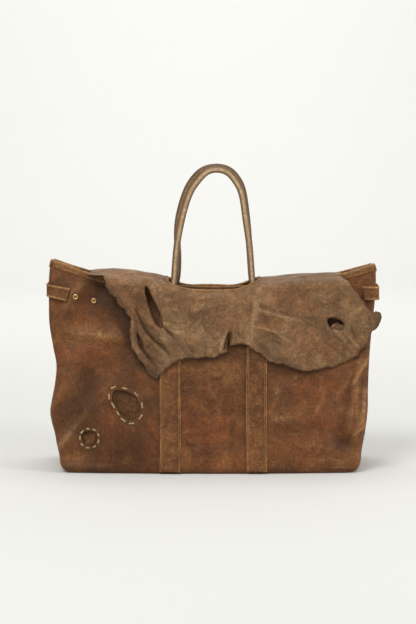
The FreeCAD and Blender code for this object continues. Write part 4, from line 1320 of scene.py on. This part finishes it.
def wall_strip(name, line, facing):
    """A strip of doubled leather lying on a wall along a line of (x, z) points, and its stitch lines."""
    across = beside(line)
    half = [(1.0, STRAP_SUNK), *((share, lift * STRAP_RISE) for share, lift in TURNED_EDGE)]
    middle = [(share, lift * STRAP_RISE) for share, lift in ((-0.4, 0.86), (0.0, 0.88), (0.4, 0.86))]
    section = [
        *((-share, lift) for share, lift in half), *middle, *reversed(half),
        (0.4, STRAP_SUNK), (-0.4, STRAP_SUNK),
    ]

    def raised(share, lift):
        """A line along the strip, at a share of its half width and a height above the wall."""
        spots = line + across * (share * VISIBLE_STRAP_WIDTH / 2)
        return on_wall(spots[:, 0], spots[:, 1], lift, facing)

    rings = np.stack([raised(share, lift) for share, lift in section], axis=1)
    piece = tube(name, rings, [strap_leather, edge_leather], painted=EDGE_COLUMNS)
    outward = (0, facing * math.cos(WALL_LEAN), math.sin(WALL_LEAN))
    return piece, [(raised(side * STITCHED_SHARE, 1.06 * STRAP_RISE), outward) for side in (-1, 1)]


strap_heights = np.linspace(0.0042, STRAP_TOP, 110)
for facing, word, cad_words in ((-1, "front", ("left", "right")), (1, "back", ("right", "left"))):
    lines = []
    for x, place_word, cad_word in zip(STRAP_X, ("left", "right"), cad_words):
        wander = 0.0007 * np.sin(strap_heights * 31 + x * 90)
        lean_in = 0.0008 * np.sin(math.pi * strap_heights / STRAP_TOP)
        line = np.stack([x + wander + lean_in, strap_heights], axis=-1)
        strap, stitch_lines = wall_strip(f"{word}_strap_{place_word}_side", line, facing)
        settle(strap, "bag", "strap_leather", f"{word}_strap_{cad_word}")
        lines += stitch_lines
    stitch_row(f"{word}_strap_stitches", lines, "bag", 0.0026, 0.0013, 0.00036)

# Rolled handles, each one piece of leather from strap top to strap top

HANDLE_AROUND = 28
# Rising from a strap's top to its pivot: reach from the handle's middle, share of foot_in, depth, height
HANDLE_ROOT = ((0.0752, 0.2, 0.0378, 0.2980), (0.0725, 0.6, 0.0356, 0.3140), (0.0705, 0.9, 0.0322, 0.3300))
SEAM_RIDGE = math.radians(20)
SEAM_ANGLE = math.radians(36)
SEAM_REACH = 0.0056
FILLER_RADIUS = 0.0032


def handle_arch(facing, left_out, right_out, foot_in, waist, tall):
    """The centre line of one handle above its pivots, from the right end over to the left end."""
    foot_lean, shoulder_lean = math.radians(4), math.radians(14.5)
    run, side_radius, half_width_at_foot = 0.0358, 0.656, 0.069
    start = (half_width_at_foot - run * math.sin(foot_lean), run * math.cos(foot_lean))
    straight = np.linspace((half_width_at_foot, 0), start, 12, endpoint=False)
    centre = start - arc((0, 0), side_radius, foot_lean)
    side_arc = arc(centre, side_radius, np.linspace(foot_lean, shoulder_lean, 40, endpoint=False))
    shoulder = arc(centre, side_radius, shoulder_lean)
    top_radius = shoulder[0] / math.cos(shoulder_lean)
    top_centre = (0, shoulder[1] - top_radius * math.sin(shoulder_lean))
    top_arc = arc(top_centre, top_radius, np.linspace(shoulder_lean, math.pi / 2, 36))
    half = np.vstack([straight, side_arc, top_arc])
    u, w = np.vstack([half, (half * (-1, 1))[::-1][1:]]).T
    share = w / w.max()
    u = u * (1 - waist * np.exp(-(((share - 0.91) / 0.08) ** 2)))
    out = np.where(u < 0, -left_out, right_out) * smoothstep(0.18, 0.55, share)
    u = u + out * smoothstep(0.0, 0.03, np.abs(u)) + foot_in * (u < 0) * smoothstep(0.36, 0.10, share)
    u = u + HANDLE_LEAN_RIGHT * smoothstep(0.45, 1.0, share)
    w = w * tall
    for _ in range(36):
        u[1:-1] = (u[:-2] + 2 * u[1:-1] + u[2:]) / 4
        w[1:-1] = (w[:-2] + 2 * w[1:-1] + w[2:]) / 4
    depth = facing * (PIVOT_Y - w * math.sin(HANDLE_LEAN))
    return np.stack([HANDLE_CENTRE + u, depth, PIVOT_Z + w * math.cos(HANDLE_LEAN)], axis=-1)


def handle_root(arch, facing, side, foot_in=0.0):
    """The flat foot of a handle, from its strap's top up to its pivot."""
    strap_x = HANDLE_CENTRE + side * STRAP_REACH
    low = np.array([strap_x, facing * (wall_depth(strap_x, 0.2830, facing) + 0.0016), 0.2830])
    rising = [
        (HANDLE_CENTRE + side * (reach - share * foot_in), facing * depth, height)
        for reach, share, depth, height in HANDLE_ROOT
    ]
    pivot = [arch[0], arch[3]] if side > 0 else [arch[-1], arch[-4]]
    return through([low + (0, facing * 0.0020, -0.0100), low, *rising, *pivot], 9)


def handle_line(facing, arch, foot_in):
    """One handle's whole centre line and its outward directions, from foot to foot."""
    right = handle_root(arch, facing, 1)
    left = handle_root(arch, facing, -1, foot_in)[::-1]
    on_arch = (0, facing * math.cos(HANDLE_LEAN), math.sin(HANDLE_LEAN))
    on_foot = (0, facing * math.cos(WALL_LEAN), math.sin(WALL_LEAN))
    outwards = [on_foot] * len(right) + [on_arch] * len(arch) + [on_foot] * len(left)
    return np.vstack([right, arch, left]), np.array(outwards)


def handle_section(height):
    """The section at a height: flat like the strap at its foot, round above, with a stitched seam ridge."""
    angles = full_turn(HANDLE_AROUND)
    rolled = float(smoothstep(0.286, 0.311, height))
    girth = 0.0051 + 0.0006 * float(smoothstep(0.36, 0.43, height))
    half_wide = 0.0182 * (1 - rolled) + girth * rolled
    half_thick = 0.0021 * (1 - rolled) + girth * rolled
    power = 0.55 * (1 - rolled) + 1.0 * rolled
    cosines, sines = np.cos(angles), np.sin(angles)
    side = half_wide * np.sign(cosines) * np.abs(cosines) ** power
    up = half_thick * np.sign(sines) * np.abs(sines) ** power
    seam = 0.0014 * rolled * np.exp(-(((angles - SEAM_RIDGE) / 0.16) ** 2))
    return np.stack([side + seam * math.cos(SEAM_RIDGE), up + seam * math.sin(SEAM_RIDGE)], axis=-1)


def build_handle(word, facing, shade, **shape):
    arch = handle_arch(facing, **shape)
    centres, outwards = handle_line(facing, arch, shape["foot_in"])
    tangent = normalised(np.gradient(centres, axis=0))
    outwards = normalised(outwards - tangent * (outwards * tangent).sum(axis=1)[:, None])
    side = np.cross(tangent, outwards)
    heights = centres[:, 2]
    sections = np.array([handle_section(height) for height in heights])
    broad_face = np.abs(np.sin(full_turn(HANDLE_AROUND)))[None, :]
    rolled = smoothstep(0.30, 0.34, heights)[:, None]
    top = smoothstep(0.44, 0.52, heights)[:, None]
    # A painted highlight along the rolled tube's front, painted shade towards its sides, darker flat feet,
    # and the rear handle darkened all over by its shade as painted shadow.
    piece = sweep(f"{word}_rolled_handle", centres, side, outwards, sections, [handle_leather], marks={
        "pale": rolled * (0.95 * broad_face**6 + 0.10 * top) * (1 - shade),
        "dark": shade + rolled * 1.15 * (1 - broad_face**2) + 0.30 * (1 - rolled),
    })
    bend = ((0, facing * PIVOT_Y, 0.3330), (0, facing * PIVOT_Y, 0.3510))
    nodes = [f"{word}_handle_{part}" for part in ("cover", "root_left", "root_right")]
    settle(piece, f"{word}_handle", "handle_leather", *nodes, bend=bend)

    on_arch = heights > 0.3560
    section = arc((0, 0), FILLER_RADIUS, full_turn(15))
    arch_frame = (centres[on_arch], side[on_arch], outwards[on_arch])
    core = sweep(f"{word}_handle_filler", *arch_frame, section, [filler])
    settle(core, f"{word}_handle", "handle_filler", f"{word}_handle_core")
    seam = centres + SEAM_REACH * (side * math.cos(SEAM_ANGLE) + outwards * math.sin(SEAM_ANGLE))
    lines = [(seam[on_arch], outwards[0])]
    stitch_row(f"{word}_handle_stitches", lines, f"{word}_handle", 0.0028, 0.0018)


build_handle("front", -1, 0.0, left_out=-0.0026, right_out=-0.0010, foot_in=0.0, waist=0.130, tall=1.002)
build_handle("rear", 1, 0.42, left_out=0.0042, right_out=0.0020, foot_in=0.0052, waist=0.100, tall=1.025)

# Edging of the mouth and of the gussets' tops


# The edging's section, as millimetres out of the sheet and down from its edge. Its crown is paler.
EDGING = [
    (0, 8.8), (1.3, 8.8), (1.8, 7.8), (1.8, 4), (2, 1), (1.2, -2.2), (-0.4, -3.4), (-2.4, -3.4), (-3.6, -2.2),
    (-4.3, 1), (-4, 8.8), (-2.4, 8.8),
]
EDGING_PALE = [0.8 if 5 <= column <= 7 else 0 for column in range(len(EDGING))]


def edge_strip(place, edge, outward, down):
    """A folded strip over a sheet's outer top edge, and the line of its stitches."""
    tangent = normalised(np.gradient(edge, axis=0))
    normal = normalised(outward - tangent * (outward * tangent).sum(axis=1)[:, None])
    down = normalised(down - tangent * (down * tangent).sum(axis=1)[:, None])
    rings = np.stack([edge + normal * out + down * drop for out, drop in metres(EDGING)], axis=1)
    piece = tube(f"{place}_edging", rings, [rim_leather], {"pale": EDGING_PALE})
    settle(piece, "bag", "binding_leather", f"{place}_binding")
    return edge + normal * 0.0019 + down * 0.0066, normal


mouth_stitches = []
for facing, word in ((-1, "front"), (1, "back")):
    points = wall_points(facing)[:, CORNER_STEPS - 2:-(CORNER_STEPS - 2)]
    normal = np.broadcast_to((0, facing * math.cos(WALL_LEAN), math.sin(WALL_LEAN)), points[-1].shape)
    mouth_stitches.append(edge_strip(f"{word}_mouth", points[-1], normal, points[-6] - points[-1]))
for side, word in ((-1, "left"), (1, "right")):
    points = gusset_points(side)
    down = points[-6] - points[-1]
    normal = normalised(np.cross(normalised(np.gradient(points[-1], axis=0)), down))
    if normal[:, 0].mean() * side < 0:
        normal = -normal
    mouth_stitches.append(edge_strip(f"{word}_gusset", points[-1], normal, down))
stitch_row("mouth_stitches", mouth_stitches, "bag")

# Turned brass pieces


def turned(name, places, profile, body, facing_normal, *nodes):
    """A turned brass shape of (radius, height, dark) rings repeated at places, its height along a normal;
    dark paints shade into recesses.
    """
    normal = normalised(np.array(facing_normal, float))
    side = normalised(np.cross(normal, (0, 0, 1)))
    around = 32
    angles = around_ring(around)
    ring = side * np.cos(angles) + np.cross(side, normal) * np.sin(angles)
    radius, height, dark = (np.array(column)[:, None, None] for column in zip(*profile))
    shape = radius * ring + height * normal
    shades = np.tile(np.repeat(dark, around), len(places))
    piece = joined(name, [shape + place for place in places], brass, {"dark": shades})
    settle(piece, body, "brass", *nodes)


# Side straps: from the back wall, round the end, to a tip whose stitches and socket turn with its body

SIDE_STRAP_THICK = 0.0027
# Its middle ring is darkened: painted shade at the socket's centre.
SOCKET_PROFILE = [
    (0.0052, 0.0, 0), (0.0054, 0.0006, 0), (0.0052, 0.0016, 0), (0.0030, 0.0020, 0), (0.0016, 0.0020, 0.5),
]


def side_strap_line(side, reach, centre_z, loose):
    """Points along the strap's middle and its outward direction, from the back wall to the front tip."""
    wide = float(half_width(centre_z, side)) + loose
    depth = FOOT_HALF_DEPTH - centre_z * math.tan(WALL_LEAN) + 0.0048
    bend = 0.0060
    rows = [(x, depth, 0, 1) for x in np.linspace(0.207, wide - bend, 18, endpoint=False)]

    def corner(first, last, middle):
        """The strap's turn round a corner of the end, about a middle depth."""
        for angle in np.linspace(first, last, 8, endpoint=False):
            out, along = math.cos(angle), math.sin(angle)
            rows.append((wide - bend + bend * out, middle + bend * along, out, along))

    corner(math.pi / 2, 0, depth - bend)
    rows += [(wide, y, 1, 0) for y in np.linspace(depth - bend, bend - depth, 14, endpoint=False)]
    corner(0, -math.pi / 2, bend - depth)
    for x in np.linspace(wide - bend, reach, 16):
        slack = 0.0012 * math.sin(math.pi * (wide - bend - x) / (wide - bend - reach))
        rows.append((x, -depth - slack, 0, -1))
    rows = np.array(rows) * (side, 1, side, 1)
    return rows[:, :2], rows[:, 2:]


def build_side_strap(word, side, reach, centre_z, half, slant, droop, loose):
    """slant cuts the tip's end aslant, droop lets the front run fall, and loose is the slack at the end."""
    spots, outward = side_strap_line(side, reach, centre_z, loose)
    in_front = spots[:, 1] < 0
    out_from_middle = np.abs(spots[:, 0])
    fall = droop * (out_from_middle.max() - out_from_middle) * in_front
    centres = np.stack([*spots.T, centre_z - fall], axis=-1)
    outs = np.stack([*outward.T, np.zeros(len(spots))], axis=-1)
    tilt = math.tan(WALL_LEAN)
    cut = side * slant * smoothstep(reach + 0.03, reach, out_from_middle) * in_front
    thick = SIDE_STRAP_THICK
    rolled_edge = [
        (half, 0.0004), (half, 0.0022), (half - 0.0012, thick), (half - 0.0034, thick),
        (half - 0.0040, thick - 0.0006),
    ]
    section = [
        *((-rise, lift) for rise, lift in rolled_edge), (0, thick - 0.0005), *reversed(rolled_edge),
        (half, 0.0), (0, 0.0), (-half, 0.0),
    ]

    def raised(rise, lift):
        """A line along the strap, moved up its face and out of it."""
        line = centres + outs * lift
        line[:, 2] += rise
        line[:, 1] -= np.sign(spots[:, 1]) * np.abs(outward[:, 1]) * rise * tilt
        return line

    rings = np.stack([raised(*place) for place in section], axis=1)
    rings[..., 0] += cut[:, None] * [rise for rise, _ in section]
    piece = tube(
        f"{word}_side_strap_leather", rings, [strap_leather, edge_leather], painted=(0, 1, 2, 7, 8, 9))
    start = Vector((side * 0.2860, -0.0185, centre_z))
    bend = (start, start + Vector((-side, -2.0, 0)).normalized() * 0.010)
    nodes = (f"{word}_side_strap", f"{word}_strap_tip")
    settle(piece, f"{word}_tip", "strap_leather", *nodes, bend=bend)

    on_run = in_front & (outward[:, 1] < -0.99)
    lines = [raised(rise, thick + 0.0001)[on_run][2:-1] for rise in (0.0024 - half, half - 0.0024)]
    lines.append(rings[-1, [2, 8]] + (side * 0.0030, -0.0002, 0))
    stitches = [(line, (0, -1, 0)) for line in lines]
    stitch_row(f"{word}_tip_stitches", stitches, f"{word}_tip", 0.0024, 0.0013, 0.00036)
    place = centres[-1] + (side * 0.0100, 0.0002, 0)
    node = f"{word}_strap_socket"
    turned(f"{word}_brass_socket", [place], SOCKET_PROFILE, f"{word}_tip", (0, 1, -tilt), node)


build_side_strap(
    "left", -1, reach=0.2553, centre_z=0.3195, half=0.0110, slant=-0.34, droop=0.20, loose=0.0010)
build_side_strap(
    "right", 1, reach=0.2705, centre_z=0.3146, half=0.0120, slant=-0.28, droop=0.0, loose=0.0040)

# Snap studs: turned brass rings with painted shade in the recess

STUD_PROFILE = [
    (0.0030, -0.0030, 0), (0.0049, 0.0000, 0), (0.0050, 0.0006, 0), (0.0047, 0.0012, 0),
    (0.0040, 0.0016, 0), (0.0027, 0.0015, 0), (0.0022, 0.0011, 0.5), (0.0020, 0.0003, 1),
    (0.0012, 0.0002, 1), (0.0010, 0.0007, 0.2), (0.0004, 0.0010, 0),
]
STUD_PLACES = ((0.2418, 0.3080), (0.2098, 0.3008))
wall_normal = (0, -math.cos(WALL_LEAN), math.sin(WALL_LEAN))
for side, word in ((-1, "left"), (1, "right")):
    places = [on_wall(side * x, z, 0.0002) for x, z in STUD_PLACES]
    turned(f"{word}_brass_studs", places, STUD_PROFILE, "bag", wall_normal, f"{word}_snap_studs")

# Patches seen through the two openings, and the thread round them


def build_patch(word, centre, reach, wrinkle, shade):
    """A round of wrinkled leather behind an opening, with painted shade over it, deepest round its edge and
    under the opening's upper left rim.
    """
    rows, around = 23, 56
    radius = np.linspace(0, reach, rows)[:, None]
    angle = full_turn(around)[None, :]
    x, z = centre[0] + radius * np.cos(angle), centre[1] + radius * np.sin(angle)
    bumps = wrinkle * (ripples(x, z, 0.018, 91) + 0.6 * ripples(x, z, 0.008, 93))
    points = on_wall(x, z, bumps * smoothstep(reach, 0.6 * reach, radius) - 0.0034)
    edge = smoothstep(0.45 * reach, 0.72 * reach, radius)
    upper_left = smoothstep(-0.2, 0.9, (z - x + centre[0] - centre[1]) / reach)
    dark = shade * (0.25 + 0.30 * edge + 0.60 * upper_left)
    faces = grid_faces(rows, around, closed=True)
    piece = make_piece(f"{word}_patch_leather", points.reshape(-1, 3), faces, [patch_leather], {"dark": dark})
    face_outward(piece, weld=True)
    thicken(piece, 0.0014)
    settle(piece, "bag", "patch_leather", f"{word}_patch")


build_patch("large", LARGE_OPENING, 0.036, 0.0012, 0.70)
build_patch("small", SMALL_OPENING, 0.022, 0.0006, 0.95)


def thread_ring(word, centre, middles, length):
    """Thick twisted hand stitches set end to end round an opening."""
    count = 9
    angles = around_ring(8)
    rows = np.arange(count)[:, None, None]
    steps = np.linspace(-0.5, 0.5, count)
    lift = 0.0011 * np.cos(math.pi * steps) ** 0.7 - 0.0002
    girth = 0.00138 * (0.62 + 0.38 * np.sin(math.pi * (rows + 0.6) / (count + 0.2)))
    twist = 1 + 0.10 * np.sin(2 * angles + rows * 1.1)
    stitches = []
    for index, (x, z) in enumerate(middles):
        along = normalised(middles[(index + 1) % len(middles)] - middles[index - 1])
        jitter = random.uniform(-0.12, 0.12)
        along = np.array([along[0] - jitter * along[1], along[1] + jitter * along[0]])
        reach = length * random.uniform(0.85, 1.12)
        spots = (centre[0] + x, centre[1] + z) + along * (steps * reach)[:, None]
        line = on_wall(spots[:, 0], spots[:, 1], lift)
        across = np.cross(normalised(np.gradient(line, axis=0)), wall_normal)[:, None]
        ring = across * np.cos(angles) * 1.15 + np.array(wall_normal) * np.sin(angles)
        stitches.append(line[:, None] + ring * girth * twist)
    piece = joined(f"{word}_hand_stitches", stitches, cream_thread)
    settle(piece, "bag", "cream_thread", f"{word}_patch_thread")


thread_ring("large", LARGE_OPENING, metres(LARGE_RING), 0.0108)
small_ring = arc((0, 0), SMALL_RING_RADIUS, np.radians(20 + 40 * np.arange(9)))
small_ring[1::2, 0] *= 1.04
thread_ring("small", SMALL_OPENING, small_ring, 0.0070)

# Welt round the foot


def welt_line():
    """The welt's centre line: a rounded rectangle just outside the skin's foot."""
    half_x, half_y, bend = 0.2530, 0.0840, 0.012
    quarter = np.radians(np.linspace(0, 90, 10))
    corners = [
        arc((sx * (half_x - bend), sy * (half_y - bend)), bend, math.radians(start) + quarter)
        for sx, sy, start in ((1, -1, -90), (1, 1, 0), (-1, 1, 90), (-1, -1, 180))
    ]
    closed = np.vstack([*corners, corners[0][:1]])
    travelled = lengths_along(closed)
    line = sampled(closed, travelled, np.arange(0, travelled[-1], 0.006))
    line[:, 1] += np.sign(line[:, 1]) * foot_bow(line[:, 0], 0.0) * smoothstep(0.0, 0.05, np.abs(line[:, 1]))
    return line


spots = welt_line()
base_corners = np.column_stack([spots * (0.991, 0.974), np.full(len(spots), 0.0002)])
base = make_piece("base_leather", base_corners, [tuple(range(len(base_corners)))], [body_leather])
base.data.polygons[0].use_smooth = False
thicken(base, 0.0022, offset=1.0)
settle(base, "bag", "body_leather", "base_panel")

wobble = 0.0004 * ripples(*spots.T, 0.05, 97)
centres = np.column_stack([spots, np.full(len(spots), 0.0024)])
outs = np.column_stack([beside(spots, closed=True), np.zeros(len(spots))])
welt_section = arc((0, 0), (0.0024, 0.0023), full_turn(12))
upward = np.broadcast_to((0, 0, 1.0), centres.shape)
welt = sweep(
    "foot_welt", centres + outs * wobble[:, None], outs, upward, welt_section, [welt_leather], closed=True)
settle(welt, "bag", "binding_leather", "base_welt")

# Plain materials on the CAD parts that stay as they are

for node, material in (("base_board", board), ("left_stud_washers", brass), ("right_stud_washers", brass)):
    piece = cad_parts[node]
    piece.data.materials.clear()
    piece.data.materials.append(material)

# Studio

floor_paint = Shader("studio_paper", 0.9, 0.1).finish(**{"Base Color": (0.826, 0.828, 0.812, 1)})
bend = [(3.0 + 1.2 * math.sin(turn), 1.2 * (1 - math.cos(turn))) for turn in np.linspace(0, math.pi / 2, 12)]
backdrop_section = [(-3.0, 0.0), *bend, (4.2, 3.4)]
backdrop = np.array([[[x, y, z - 0.0002] for x in (-5, 5)] for y, z in backdrop_section])
floor = grid_piece("studio_paper", backdrop, [floor_paint], flip=True)

world = bpy.data.worlds.new("studio_air")
bpy.context.scene.world = world
world.use_nodes = True
air = world.node_tree.nodes["Background"]
air.inputs["Color"].default_value = (0.985, 0.992, 0.975, 1)
air.inputs["Strength"].default_value = 0.44
bpy.context.scene.view_settings.view_transform = "Standard"


def add_light(name, place, size, power, aim=(0, 0, 0.25), tint=(1, 0.985, 0.955)):
    lamp = bpy.data.lights.new(name, "AREA")
    lamp.shape = "RECTANGLE"
    lamp.size, lamp.size_y = size
    lamp.energy = power
    lamp.color = tint
    holder = bpy.data.objects.new(name, lamp)
    bpy.context.scene.collection.objects.link(holder)
    holder.location = place
    holder.rotation_euler = (Vector(aim) - Vector(place)).to_track_quat("-Z", "Y").to_euler()


add_light("key", (-0.9, -1.5, 2.3), (1.3, 1.0), 31)
add_light("side", (2.1, -0.9, 0.9), (0.4, 1.4), 17)
add_light("top", (0.1, 0.5, 2.6), (1.6, 1.2), 17)
add_light("backdrop_wash", (0, 1.6, 2.6), (4.0, 0.6), 62, aim=(0, 4.2, 1.2))

camera_data = bpy.data.cameras.new("camera")
camera = bpy.data.objects.new("camera", camera_data)
bpy.context.scene.collection.objects.link(camera)
bpy.context.scene.camera = camera
camera_data.sensor_width = 36
camera_data.lens = 105.5
target = Vector((-0.006, -0.09, 0.2882))
lift = math.radians(7)
camera.location = target + 3.2 * Vector((0, -math.cos(lift), math.sin(lift)))
camera.rotation_euler = (target - camera.location).to_track_quat("-Z", "Y").to_euler()
